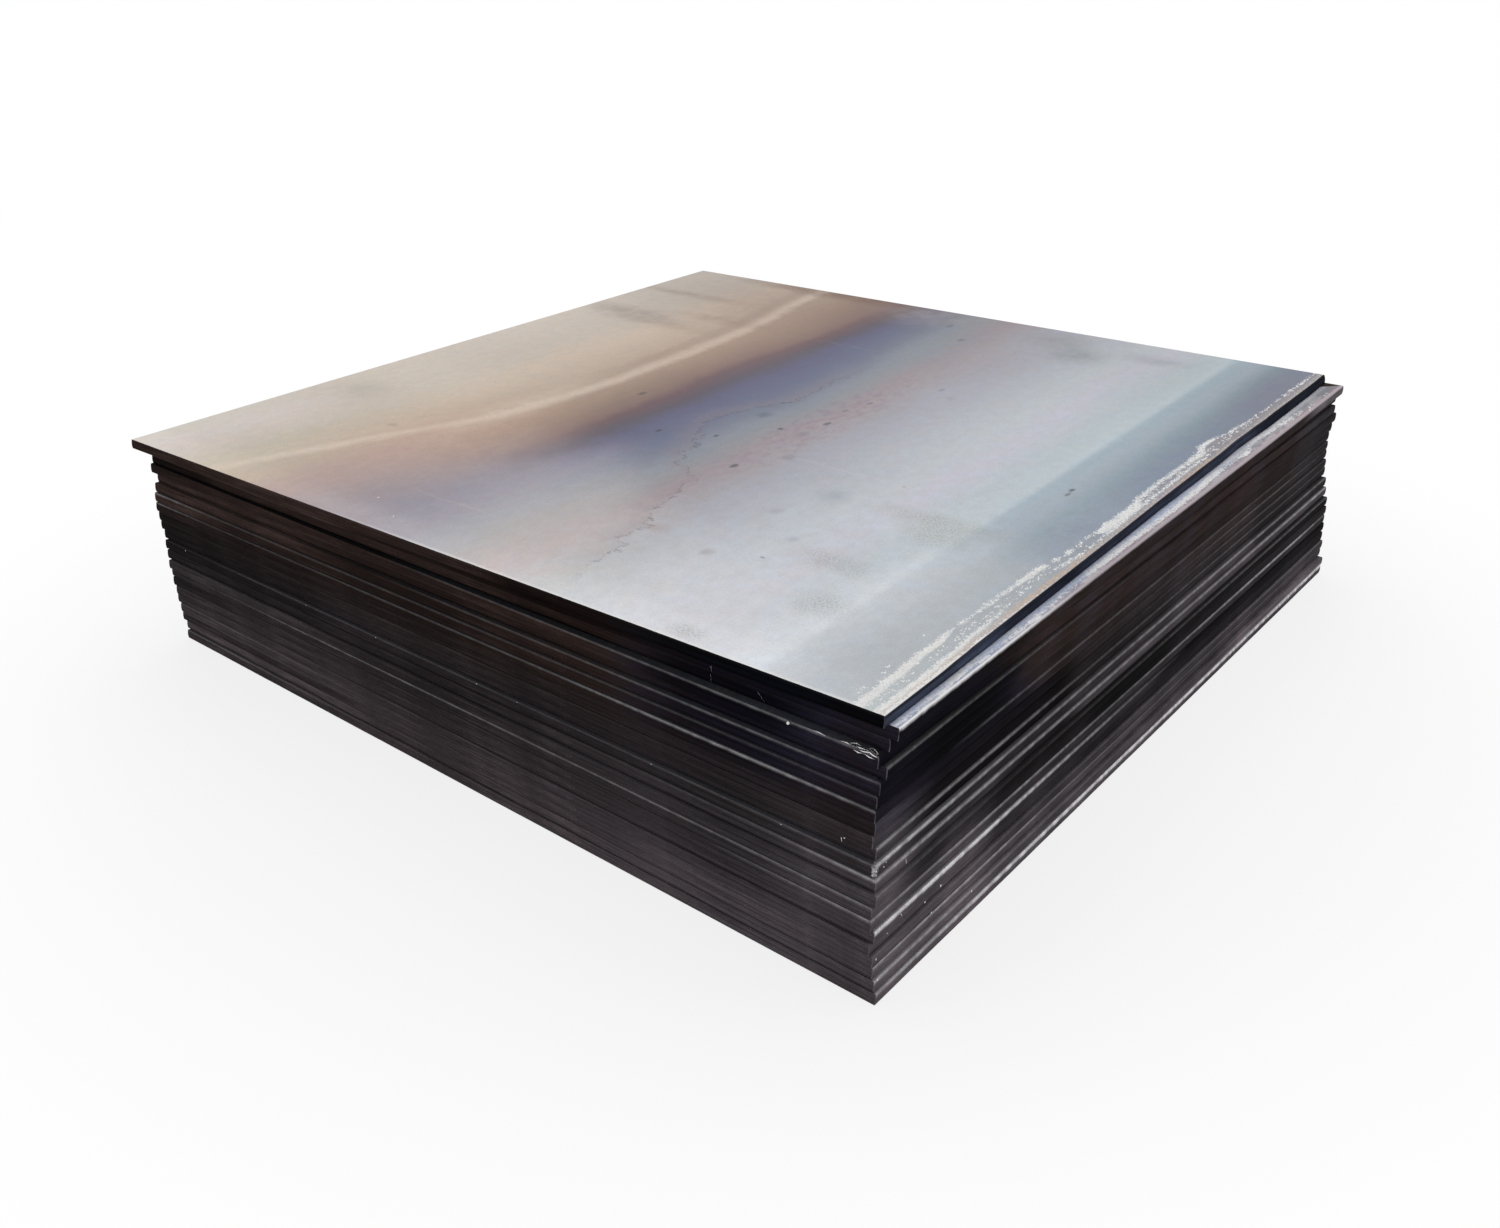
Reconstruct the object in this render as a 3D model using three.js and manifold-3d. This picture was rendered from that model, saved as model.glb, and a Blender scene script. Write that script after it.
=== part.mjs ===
// A pile of hot-rolled steel plates, stacked loose one on another as they came off the shear.
//
// Millimetres, +Z up. X runs across the strip that the plates were cut from, from one mill edge
// to the other. Y runs along it, the way it was rolled, from one sheared end to the other.
// The origin is the middle of the pile's footprint, on the underside of the bottom plate.

import * as THREE from "three";
import { mergeVertices } from "three/addons/utils/BufferGeometryUtils.js";
import Module from "manifold-3d";

// One plate
const plateWidth = 1250;        // between the crests of its two mill edges
const plateLength = 1258;       // between the sheared ends, with the shear's allowance of 8
const plateThickness = 14;
const plateGap = 0.3;           // between two plates, where the mill scale holds them apart

// Mill edge: left by the rolls, round at both corners and slightly crowned between them
const millCornerRadius = 1.6;
const millCrown = 0.5;          // how far the middle of the edge stands past its corners

// Sheared end: rolled over where the blade bore on it, then a straight burnished band, then
// a torn face that leans back to the sharp far corner
const rollOverHeight = 1.5;
const rollOverReach = 2.2;      // how far the rolled-over corner reaches into the plate
const burnishedHeight = 4;
const tornLean = 1.1;

const arcSteps = 4;             // straight pieces in each rounded corner
const crownSteps = 4;           // straight pieces in the crown of a mill edge

// How each plate lies, from the top of the pile down: its shift along X and along Y, its turn
// in degrees seen from above, and how much a knock has taken off its corner at +X, -Y
const lay = [
  { acrossShift: -19, alongShift: -1, turn: 1.3 },
  { acrossShift: 0, alongShift: 12, turn: 0.75 },
  { acrossShift: -10, alongShift: 15, turn: 0.6 },
  { acrossShift: -10, alongShift: 8, turn: 0.2 },
  { acrossShift: -7, alongShift: 14, turn: 0.35 },
  { acrossShift: -9, alongShift: 8, turn: 0.3 },
  { acrossShift: -10, alongShift: 5, turn: 0.3 },
  { acrossShift: -9, alongShift: 3, turn: 0.25 },
  { acrossShift: -9, alongShift: 4, turn: 0.25 },
  { acrossShift: -8, alongShift: 3, turn: 0.1 },
  { acrossShift: -7, alongShift: 5, turn: 0.2 },
  { acrossShift: -2, alongShift: 0, turn: 0.1, knockedCorner: 5 },
  { acrossShift: 1, alongShift: -2, turn: 0.05 },
  { acrossShift: 6, alongShift: -6, turn: 0 },
  { acrossShift: 5, alongShift: -5, turn: -0.25 },
  { acrossShift: 5, alongShift: -6, turn: -0.25 },
  { acrossShift: 7, alongShift: -5, turn: -0.15 },
  { acrossShift: 6, alongShift: -6, turn: -0.35 },
  { acrossShift: 9, alongShift: -6, turn: -0.3 },
  { acrossShift: 8, alongShift: -5, turn: -0.25 },
  { acrossShift: 13, alongShift: -5, turn: -0.4 },
  { acrossShift: 14, alongShift: -7, turn: -0.25 },
];

const wasm = await Module();
wasm.setup();

// A closed geometry as a solid that can be cut.
function solidOf(geometry) {
  const bare = geometry.clone();
  bare.deleteAttribute("normal");
  bare.deleteAttribute("uv");
  const merged = mergeVertices(bare, 1e-4);
  const vertProperties = new Float32Array(merged.attributes.position.array);
  const triVerts = new Uint32Array(merged.index.array);
  return new wasm.Manifold(new wasm.Mesh({ numProp: 3, vertProperties, triVerts }));
}

// A cut solid back as a geometry with flat faces.
function geometryOf(solid) {
  const mesh = solid.getMesh();
  const geometry = new THREE.BufferGeometry();
  const position = new THREE.BufferAttribute(new Float32Array(mesh.vertProperties), 3);
  geometry.setAttribute("position", position);
  geometry.setIndex(new THREE.BufferAttribute(new Uint32Array(mesh.triVerts), 1));
  const faceted = geometry.toNonIndexed();
  faceted.computeVertexNormals();
  return faceted;
}

// Points on an elliptical arc, from one angle to the other, both ends included.
function arcPoints(centreX, centreY, radiusX, radiusY, fromAngle, toAngle) {
  const points = [];
  for (let step = 0; step <= arcSteps; step += 1) {
    const angle = THREE.MathUtils.degToRad(fromAngle + ((toAngle - fromAngle) * step) / arcSteps);
    points.push(new THREE.Vector2(
      centreX + radiusX * Math.cos(angle),
      centreY + radiusY * Math.sin(angle),
    ));
  }
  return points;
}

// One mill edge on the +X side, as (x, z) points from the lower face up to the upper one.
function millEdge() {
  const cornerX = plateWidth / 2 - millCrown;
  const lower = arcPoints(
    cornerX - millCornerRadius, millCornerRadius, millCornerRadius, millCornerRadius, -90, 0,
  );
  const upper = arcPoints(
    cornerX - millCornerRadius, plateThickness - millCornerRadius,
    millCornerRadius, millCornerRadius, 0, 90,
  );
  const straight = plateThickness - 2 * millCornerRadius;
  const crown = [];
  for (let step = 1; step < crownSteps; step += 1) {
    const share = step / crownSteps;
    const bulge = millCrown * (1 - (2 * share - 1) ** 2);
    crown.push(new THREE.Vector2(cornerX + bulge, millCornerRadius + straight * share));
  }
  return [...lower, ...crown, ...upper];
}

// One sheared end on the +Y side, as (y, z) points from the lower face up to the upper one:
// rolled over at the top and torn at the bottom.
function shearedEnd() {
  const endY = plateLength / 2;
  const rollOver = arcPoints(
    endY - rollOverReach, plateThickness - rollOverHeight, rollOverReach, rollOverHeight, 0, 90,
  );
  const burnishedFoot = plateThickness - rollOverHeight - burnishedHeight;
  return [
    new THREE.Vector2(endY - tornLean, 0),
    new THREE.Vector2(endY, burnishedFoot),
    ...rollOver,
  ];
}

const mirrored = (points) => points.map((point) => new THREE.Vector2(-point.x, point.y)).reverse();

// The other end dropped off the shear's bed, so there the same cut is upside down.
const upsideDown = (points) => points
  .map((point) => new THREE.Vector2(point.x, plateThickness - point.y))
  .reverse();

// The section across the strip, extruded along Y, past the ends.
function stripSolid() {
  const outline = new THREE.Shape([...millEdge(), ...mirrored(millEdge())]);
  const depth = 2 * plateLength;
  const geometry = new THREE.ExtrudeGeometry(outline, { depth, bevelEnabled: false });
  geometry.translate(0, 0, -depth / 2);
  geometry.rotateX(Math.PI / 2);
  return solidOf(geometry);
}

// The section along the strip, extruded along X, past the mill edges.
function cutSolid() {
  const outline = new THREE.Shape([...shearedEnd(), ...mirrored(upsideDown(shearedEnd()))]);
  const depth = 2 * plateWidth;
  const geometry = new THREE.ExtrudeGeometry(outline, { depth, bevelEnabled: false });
  geometry.translate(0, 0, -depth / 2);
  geometry.rotateX(Math.PI / 2);
  geometry.rotateZ(Math.PI / 2);
  return solidOf(geometry);
}

// What a knock takes off the corner at +X, -Y: a slanting prism through the plate.
function knockSolid(knock) {
  const cornerX = plateWidth / 2;
  const cornerY = -plateLength / 2;
  const outline = new THREE.Shape([
    new THREE.Vector2(cornerX - 2 * knock, cornerY - knock),
    new THREE.Vector2(cornerX + knock, cornerY - knock),
    new THREE.Vector2(cornerX + knock, cornerY + 2 * knock),
  ]);
  const depth = 3 * plateThickness;
  const geometry = new THREE.ExtrudeGeometry(outline, { depth, bevelEnabled: false });
  geometry.translate(0, 0, -plateThickness);
  return solidOf(geometry);
}

const wholePlate = stripSolid().intersect(cutSolid());

// One plate, lying flat with its underside at height 0.
function plateGeometry({ knockedCorner = 0 }) {
  const knocked = knockedCorner > 0;
  return geometryOf(knocked ? wholePlate.subtract(knockSolid(knockedCorner)) : wholePlate);
}

// Blue-grey mill scale, as every face of the pile shows it.
const scaledSteel = () => new THREE.MeshStandardMaterial({
  color: 0x4a4a50,
  roughness: 0.5,
  metalness: 0.6,
});

const pile = new THREE.Group();
lay.forEach((plate, index) => {
  const mesh = new THREE.Mesh(plateGeometry(plate), scaledSteel());
  mesh.name = `plate_${String(index + 1).padStart(2, "0")}`;
  const platesBelow = lay.length - 1 - index;
  mesh.position.set(
    plate.acrossShift,
    plate.alongShift,
    platesBelow * (plateThickness + plateGap),
  );
  mesh.rotation.z = THREE.MathUtils.degToRad(plate.turn);
  pile.add(mesh);
});

export default pile;
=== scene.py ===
"""Dresses a pile of 22 hot-rolled steel plates: their edges, mill scale, heat tints, flakes and rubs.

Lengths are in millimetres inside this script and become metres when a mesh is made. Each plate
is modelled in its own frame: x across the strip, y along it, z up from its underside.
"""

import math

import bpy
import numpy as np
from mathutils import Matrix, Vector


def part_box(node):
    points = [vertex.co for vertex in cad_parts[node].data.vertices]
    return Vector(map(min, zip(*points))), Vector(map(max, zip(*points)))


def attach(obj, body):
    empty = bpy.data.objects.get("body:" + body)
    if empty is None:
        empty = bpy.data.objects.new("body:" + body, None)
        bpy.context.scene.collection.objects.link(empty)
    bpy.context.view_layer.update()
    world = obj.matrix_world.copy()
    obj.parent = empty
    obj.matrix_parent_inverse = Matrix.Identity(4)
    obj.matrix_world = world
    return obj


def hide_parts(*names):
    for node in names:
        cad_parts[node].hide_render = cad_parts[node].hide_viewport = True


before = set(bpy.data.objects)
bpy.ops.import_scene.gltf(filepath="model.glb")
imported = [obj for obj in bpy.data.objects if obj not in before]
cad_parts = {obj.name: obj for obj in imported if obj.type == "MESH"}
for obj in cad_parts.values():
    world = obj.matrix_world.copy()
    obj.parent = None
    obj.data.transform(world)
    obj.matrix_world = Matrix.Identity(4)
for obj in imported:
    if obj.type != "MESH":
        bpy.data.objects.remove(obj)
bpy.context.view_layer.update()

MM = 0.001
PLATE_COUNT = 22
TOP_PLATE = 1

# One plate
WIDTH = 1250.0
LENGTH = 1258.0
THICKNESS = 14.0
CORNER_RADIUS = 1.6  # of the mill edges
CROWN = 0.5
ROLL_OVER_HEIGHT = 1.5  # of the sheared ends
ROLL_OVER_REACH = 2.2
BURNISHED_HEIGHT = 4.0
TORN_LEAN = 1.1
UPRIGHT_RADIUS = 1.1  # of the four upright corners, seen from above
KNOCKED_PLATE = 12
KNOCK = 5.0  # how much of its front corner plate 12 has lost
CRUST_ROOM = 0.3  # the top plate's face lies this much low, so its flakes stay in the box

# The dressed mesh
STATION = 6.0  # between two points along a side
CORNER_STATIONS = (0.0, 0.7, 1.5, 2.4, 3.4, 4.6, 6.5, 9.5)
ARC_ANGLES = (22.5, 45.0, 67.5)
CORNER_LEVELS = (0.0, 0.12, 0.47, 0.99, 1.6)
MIDDLE_LEVELS = (3.0, 4.4, 5.5, 7.0, 8.5, 9.8, 11.1)
CAP_INSET = 24.0  # how far in from the edge the last ring of a flat face lies
MILL_ROUGHNESS = 0.1  # how deep the sides are rough, by how the steel parted there
TORN_ROUGHNESS = 0.28
BURNISHED_ROUGHNESS = 0.04
WAVE_HEIGHT = 0.12  # of the edges, seen from above
WAVELENGTH = 420.0

FRONT, RIGHT, BACK, LEFT = range(4)


# ---- Node trees

def linear(value):
    """The linear value of what a colour picker shows as 0 to 255."""
    share = np.asarray(value) / 255
    return np.where(share <= 0.04045, share / 12.92, ((share + 0.055) / 1.055) ** 2.4)


def colour(red, green, blue):
    """A linear colour from the 0 to 255 values of a colour picker."""
    return (*linear((red, green, blue)).tolist(), 1.0)


class Graph:
    """A short way to write one node tree."""

    def __init__(self, tree):
        self.tree = tree
        tree.nodes.clear()

    def node(self, kind, inputs=None, **settings):
        """A node with its settings, and a value or a signal for some of its sockets."""
        node = self.tree.nodes.new("ShaderNode" + kind)
        for name, value in settings.items():
            setattr(node, name, value)
        for name, value in (inputs or {}).items():
            if isinstance(value, Signal):
                self.tree.links.new(value.socket, node.inputs[name])
            elif value is not None:
                node.inputs[name].default_value = value
        return node

    def signal(self, kind, output, inputs=None, **settings):
        """What one output of a new node gives."""
        return Signal(self, self.node(kind, inputs, **settings).outputs[output])

    def attribute(self, name):
        return self.signal("Attribute", "Fac", attribute_name=name)

    def place(self):
        """The place on the piece in its own frame, in millimetres."""
        return self.signal("TexCoord", "Object").vector("MULTIPLY", (1 / MM,) * 3)

    def seen(self):
        """1 for what the camera, a reflection or a transmission looks at, else 0."""
        path = self.node("LightPath").outputs
        by_camera, by_glossy, by_transmission = (
            Signal(self, path[f"Is {kind} Ray"]) for kind in ("Camera", "Glossy", "Transmission")
        )
        return by_camera.most(by_glossy).most(by_transmission)


NOISE_RANGE = (0.2, 0.8)


def arithmetic(operation):
    """A method of a signal that works out one number, from it and perhaps a second."""
    def method(signal, other=None):
        inputs = {0: signal, 1: other}
        return signal.graph.signal("Math", 0, inputs, operation=operation)
    return method


class Signal:
    """What a socket gives: a number, a colour or a place."""

    def __init__(self, graph, socket):
        self.graph = graph
        self.socket = socket

    __add__ = arithmetic("ADD")
    __sub__ = arithmetic("SUBTRACT")
    __mul__ = arithmetic("MULTIPLY")
    __truediv__ = arithmetic("DIVIDE")
    __abs__ = arithmetic("ABSOLUTE")
    most = arithmetic("MAXIMUM")

    def vector(self, operation, other):
        inputs = {0: self, 1: other}
        return self.graph.signal("VectorMath", 0, inputs, operation=operation)

    def length(self):
        return self.graph.signal("VectorMath", "Value", {0: self}, operation="LENGTH")

    def split(self):
        """The three numbers of a place."""
        outputs = self.graph.node("SeparateXYZ", {0: self}).outputs
        return [Signal(self.graph, output) for output in outputs]

    def shaded(self, shade):
        """This colour multiplied by a number."""
        return self.graph.signal("VectorMath", 0, {0: self, 3: shade}, operation="SCALE")

    def mix(self, first, second):
        """Two colours mixed, with this number as the share of the second."""
        inputs = {0: self, 6: first, 7: second}
        return self.graph.signal("Mix", 2, inputs, data_type="RGBA")

    def blend(self, first, second):
        """Two numbers mixed, with this number as the share of the second."""
        return self.graph.signal("Mix", 0, {0: self, 2: first, 3: second})

    def mapped(self, start, end, low=0.0, high=1.0, **settings):
        """From low to high as this number goes from start to end."""
        inputs = {0: self, 1: start, 2: end, 3: low, 4: high}
        return self.graph.signal("MapRange", 0, inputs, **settings)

    def smooth(self, start, end, low=0.0, high=1.0):
        """The same, with smooth ends."""
        return self.mapped(start, end, low, high, interpolation_type="SMOOTHSTEP")

    def spread(self, low, high):
        """From low to high as noise goes over its usual range."""
        return self.smooth(*NOISE_RANGE, low, high)

    def within(self, first, full, fading, last):
        """1 from full to fading, 0 before first and after last."""
        return self.smooth(first, full) * self.smooth(last, fading)

    def cloud(self, output, across, along, up, detail, rough):
        place = self.vector("MULTIPLY", (across, along, up))
        inputs = {"Vector": place, "Scale": 1.0, "Detail": detail, "Roughness": rough}
        return self.graph.signal("TexNoise", output, inputs)

    def noise(self, across, along, up, detail=2.0, rough=0.5):
        """Noise of about 0.2 to 0.8 at this place, with so many lumps to a millimetre."""
        return self.cloud(0, across, along, up, detail, rough)

    def pushed(self, lumps, reach):
        """This place, pushed unevenly by up to about reach / 3 in each direction."""
        push = self.cloud(1, lumps, lumps, 0.0, 3.0, 0.5).vector("SUBTRACT", (0.5, 0.5, 0.5))
        return self.vector("ADD", push.vector("MULTIPLY", (reach, reach, 0.0)))

    def ramp(self, stops):
        """A colour that follows this number, through (number, picked colour) stops."""
        first = stops[0][0]
        last = stops[-1][0]
        node = self.graph.node("ValToRGB", {0: self.mapped(first, last)})
        elements = node.color_ramp.elements
        while len(elements) < len(stops):
            elements.new(0.5)
        for element, (number, tint) in zip(elements, stops):
            element.position = (number - first) / (last - first)
            element.color = colour(*tint)
        return Signal(self.graph, node.outputs[0])

    def follow(self, rows, column=1):
        """What stands in one column of a table, on a smooth curve as this number follows its first."""
        first = rows[0][0]
        last = rows[-1][0]
        numbers = [row[column] for row in rows]
        lowest = min(numbers)
        highest = max(numbers)
        node = self.graph.node("FloatCurve", {1: self.mapped(first, last)})
        curve = node.mapping.curves[0]
        while len(curve.points) < len(rows):
            curve.points.new(0.5, 0.5)
        for point, row in zip(curve.points, rows):
            across = (row[0] - first) / (last - first)
            point.location = (across, (row[column] - lowest) / (highest - lowest))
        node.mapping.update()
        return Signal(self.graph, node.outputs[0]).mapped(0.0, 1.0, lowest, highest)


def new_material(name):
    """A material and the graph that its finish is drawn with."""
    material = bpy.data.materials.new(name)
    material.use_nodes = True
    return material, Graph(material.node_tree)


# ---- Camera, floor and light

CAMERA_PLACE = (1.1851, -1.4887, 0.9454)  # these and the floor's and the light's are in metres
CAMERA_AZIMUTH = 39.47
CAMERA_DIP = 27.0
CAMERA_ROLL = -0.84
CAMERA_LENS = 32.5
SENSOR_WIDTH = 36.0
FLOOR_SIZE = 30.0
FLOOR_LEVEL = -0.0002
SHADOW_ROOM = (0.8, 1.4)  # how far out the pile's shadow shows on the floor, and then has gone
SHADOW_HIDDEN = 0.8  # how much of the shadow the floor's white hides near the pile
AMBIENT = 0.62  # the white studio's light on everything that isn't seen directly
SOFTBOX_PLACE = (-0.6, 0.8, 3.2)
SOFTBOX_SIZE = 3.0
SOFTBOX_POWER = 45.0
MIDDLE_OF_PILE = (0.0, 0.0, 0.15)
WHITE = (1.0, 1.0, 1.0, 1.0)
PAPER = (0.84, 0.84, 0.84, 1.0)


def show(thing):
    bpy.context.scene.collection.objects.link(thing)


def make_camera():
    camera = bpy.data.objects.new("camera", bpy.data.cameras.new("camera"))
    camera.data.sensor_width = SENSOR_WIDTH
    camera.data.lens = CAMERA_LENS
    turned = Matrix.Identity(4)
    for angle, axis in ((CAMERA_AZIMUTH, "Z"), (90 - CAMERA_DIP, "X"), (CAMERA_ROLL, "Z")):
        turned = turned @ Matrix.Rotation(math.radians(angle), 4, axis)
    camera.matrix_world = Matrix.Translation(CAMERA_PLACE) @ turned
    show(camera)
    bpy.context.scene.camera = camera


def make_world():
    world = bpy.data.worlds.new("studio")
    bpy.context.scene.world = world
    world.use_nodes = True
    graph = Graph(world.node_tree)
    strength = graph.seen().blend(AMBIENT, 1.0)
    background = graph.signal("Background", 0, {"Color": WHITE, "Strength": strength})
    graph.node("OutputWorld", {"Surface": background})


def make_floor():
    """A white floor, darker only where the pile's shadow falls."""
    half = FLOOR_SIZE / 2
    corners = [(x * half, y * half, FLOOR_LEVEL) for x, y in ((-1, -1), (1, -1), (1, 1), (-1, 1))]
    mesh = bpy.data.meshes.new("floor")
    mesh.from_pydata(corners, [], [(0, 1, 2, 3)])
    floor = bpy.data.objects.new("floor", mesh)
    show(floor)
    material, graph = new_material("white_floor")
    paper = graph.signal("BsdfDiffuse", 0, {"Color": PAPER})
    glow = graph.signal("Emission", 0, {"Color": WHITE, "Strength": 1.0})
    away = graph.signal("TexCoord", "Object").length()
    share = graph.seen() * away.smooth(*SHADOW_ROOM, SHADOW_HIDDEN, 1.0)
    mixed = graph.signal("MixShader", 0, {0: share, 1: paper, 2: glow})
    graph.node("OutputMaterial", {"Surface": mixed})
    mesh.materials.append(material)


def make_softbox():
    """A square soft light overhead that looks at the middle of the pile."""
    light = bpy.data.lights.new("overhead", "AREA")
    light.shape = "SQUARE"
    light.size = SOFTBOX_SIZE
    light.energy = SOFTBOX_POWER
    box = bpy.data.objects.new("overhead", light)
    box.location = SOFTBOX_PLACE
    aim = Vector(MIDDLE_OF_PILE) - Vector(SOFTBOX_PLACE)
    box.rotation_euler = aim.to_track_quat("-Z", "Y").to_euler()
    box.visible_glossy = False
    show(box)


# ---- Rubs, painted highlights, painted shade and tones of the sides

# These tables follow brightness readings of the photograph, taken plate by plate with scratch
# scripts, compared with renders and then rounded.

# How bare each upper arris is rubbed, with painted highlights where it caught the light, from 0 to 1:
# (place along the side, amount) pairs.
FRONT_RUBS_AND_HIGHLIGHTS = {
    2: ((380, 0), (450, 0.04), (510, 0.04), (560, 0)),
    4: ((-100, 0), (0, 0.06), (200, 0.1), (400, 0.17), (500, 0.22), (620, 0.14)),
    6: ((-100, 0), (0, 0.06), (200, 0.09), (300, 0.13), (500, 0.18), (620, 0.12)),
    7: ((-620, 0.24), (-500, 0.07), (200, 0.06), (620, 0.06)),
    8: ((-620, 0.18), (-500, 0.05), (0, 0.09), (200, 0.12), (300, 0.26), (500, 0.37), (620, 0.2)),
    11: ((450, 0), (620, 0.06)),
    12: ((-500, 0.02), (-400, 0.07), (200, 0.05), (620, 0.12)),
    13: ((200, 0), (400, 0.05), (500, 0.1), (590, 0.3), (620, 0.4)),
    15: ((-620, 0.28), (-200, 0.3), (0, 0.22), (100, 0.17), (620, 0.2)),
    16: ((400, 0), (500, 0.14), (620, 0.3)),
    19: ((-620, 0.06), (-400, 0.08), (-100, 0)),
    20: ((-620, 0.06), (-400, 0.07), (-100, 0)),
    22: ((-620, 0.1), (-500, 0.14), (-100, 0)),
}
RIGHT_RUBS_AND_HIGHLIGHTS = {
    2: ((-620, 0.7), (-450, 0.5), (-200, 0.25), (600, 0.15)),
    5: ((-620, 0.24), (-500, 0.14), (-300, 0.08), (0, 0)),
    8: ((-500, 0), (-400, 0.12), (0, 0.1), (600, 0.04)),
    9: ((-300, 0), (100, 0.06), (400, 0.13), (600, 0.05)),
    10: ((-200, 0), (0, 0.04), (400, 0.1), (600, 0.07)),
    11: ((-620, 0.35), (-400, 0.3), (-200, 0.1), (200, 0.1), (600, 0.08)),
    12: ((-620, 0.7), (-400, 0.33), (-100, 0.24), (100, 0.35), (600, 0.2)),
    13: ((-620, 0.42), (-400, 0.38), (0, 0.27), (200, 0.3), (600, 0.42)),
    14: ((-620, 0.12), (-400, 0.03), (0, 0.08), (600, 0.17)),
    16: ((-620, 0.32), (-300, 0.34), (-100, 0.17), (100, 0.29), (500, 0.52), (600, 0.2)),
    17: ((-620, 1), (-500, 1), (-300, 0.55), (-100, 0.2), (100, 0)),
    19: ((-300, 0.06), (600, 0.13)),
    20: ((-620, 0.4), (-500, 0.46), (-400, 0.36), (-200, 0.15), (600, 0.1)),
    21: ((-620, 0.5), (-500, 0.36), (-400, 0.15), (-100, 0.06), (600, 0)),
    22: ((-620, 0.4), (-500, 0.65), (-300, 0.9), (600, 0.85)),
}
CHOSEN_RUBS_AND_HIGHLIGHTS = {FRONT: FRONT_RUBS_AND_HIGHLIGHTS, RIGHT: RIGHT_RUBS_AND_HIGHLIGHTS}
# Rubs and a painted highlight along some lower arrises.
RIGHT_FOOT_RUBS_AND_HIGHLIGHTS = {21: ((0, 0.0), (150, 0.2), (350, 0.75), (600, 0.9))}  # of lower arrises
FAINT_RUB = ((0, 0.01),)
UNSEEN_RUBS = (0.05, 0.3, 0.1, 0.45, 0.2, 0.7)  # taken in turn on the sides that face away

# How dark the foot of a side is painted, from 0 to 1: painted shade in the gap below it.
FRONT_FEET = {
    1: ((-200, 0), (0, 0.5), (620, 0.6)),
    3: ((-620, 0.9), (250, 0.9), (420, 0)),
    5: ((-620, 0.4), (0, 0.5), (620, 0.3)),
    6: ((-620, 0.5), (-100, 0)),
    12: ((-150, 0), (-50, 0.5), (350, 0.5), (450, 0)),
    13: ((-620, 0.6), (620, 0.5)),
    17: ((-620, 0.5), (620, 0.6)),
    20: ((-620, 0.4), (620, 0.3)),
    21: ((-620, 0.7), (620, 0.7)),
}
RIGHT_FEET = {
    1: ((-620, 0.5), (-300, 0.3), (600, 0.3)),
    18: ((-620, 0.7), (-450, 0.6), (-350, 0)),
    19: ((-620, 0.6), (-450, 0.5), (-350, 0)),
}
SHADED_FEET = {FRONT: FRONT_FEET, RIGHT: RIGHT_FEET}
# The same for the upper ledges, as painted shade under the plates that stand out above them, and for
# the head of a side, below its upper arris, which is darker there.
SHADED_LEDGES = {FRONT: {4: ((-620, 0.95), (250, 0.95), (420, 0.2))}}
DARKER_HEADS = {RIGHT: {TOP_PLATE: ((-620, 0.65), (-200, 0.3), (600, 0.3))}}
UNDARKENED = ((0, 0.0),)

# How light the sides are on a colour picker, from 0 to 255: the scale's own darkness with painted
# shade in it, and near the right side's front end a painted reflection of dark surroundings. First
# (plate, tone) pairs, then lighter and darker patches, as first plate, last plate, where they start
# and end, and tone.
FRONT_TONES = ((1, 50), (4, 50), (8, 40), (12, 45), (16, 55), (19, 70), (22, 75))
FRONT_PATCHES = (
    (1, 1, -450, 20, 55), (1, 1, 110, 700, 25), (1, 1, 330, 700, 15), (2, 2, -480, -200, 65),
    (2, 2, -150, 0, 40), (2, 2, 20, 700, 25), (3, 3, -700, -480, 25), (3, 3, -150, 50, 60),
    (3, 3, 120, 300, 40), (4, 4, -700, -480, 40), (3, 4, 330, 540, 20), (2, 4, 540, 700, 45),
    (5, 6, -700, -250, 60), (7, 7, -700, -480, 60), (5, 8, 340, 520, 30), (6, 8, -180, 60, 40),
    (8, 12, -450, -250, 35), (9, 12, -700, -450, 30), (10, 12, -180, 60, 50), (10, 12, 520, 700, 55),
    (13, 13, -700, -250, 40), (14, 14, -700, -250, 60), (16, 16, -700, -480, 40),
    (13, 14, 150, 500, 55), (13, 16, 520, 700, 75), (18, 18, -700, -480, 60), (17, 18, 520, 700, 75),
    (19, 20, 330, 700, 80), (20, 20, -700, -200, 55), (21, 21, -700, -200, 85), (21, 22, 100, 700, 80),
    (22, 22, -700, -200, 65),
)
RIGHT_TONES = (
    (1, 65), (2, 50), (7, 45), (8, 50), (9, 50), (11, 45), (12, 60), (13, 80), (14, 25), (15, 35),
    (16, 55), (17, 25), (18, 40), (19, 70), (20, 75), (21, 85), (22, 90),
)
RIGHT_PATCHES = (
    (1, 1, -700, -400, 85), (1, 1, -400, -200, 55), (1, 1, 50, 300, 75), (1, 1, 350, 700, 45),
    (2, 7, -700, -390, 25), (5, 7, -540, -400, 10), (2, 2, 480, 700, 105), (4, 4, -330, 700, 60),
    (5, 6, -350, 300, 55), (8, 8, -700, -560, 40), (8, 8, -540, -350, 25), (9, 9, -540, -220, 25),
    (10, 11, -540, -220, 20), (8, 9, 50, 300, 60), (10, 11, 50, 300, 55), (10, 11, -200, 0, 40),
    (9, 12, -700, -560, 75), (12, 12, -560, -250, 50), (12, 12, 50, 300, 80), (12, 12, 350, 700, 50),
    (13, 16, -700, -560, 95), (13, 14, -540, -420, 55), (13, 13, -380, -220, 35),
    (14, 15, -180, 40, 15), (15, 15, -540, -420, 70), (15, 15, 300, 700, 45), (16, 16, -560, -400, 85),
    (16, 18, -380, -220, 60), (17, 18, -700, -400, 90), (17, 17, -200, 20, 50),
    (19, 19, -700, -400, 95), (20, 22, -700, -400, 105), (20, 20, -400, -50, 90),
    (21, 21, 250, 700, 110), (22, 22, -400, 0, 100), (22, 22, 350, 700, 80),
)
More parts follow.
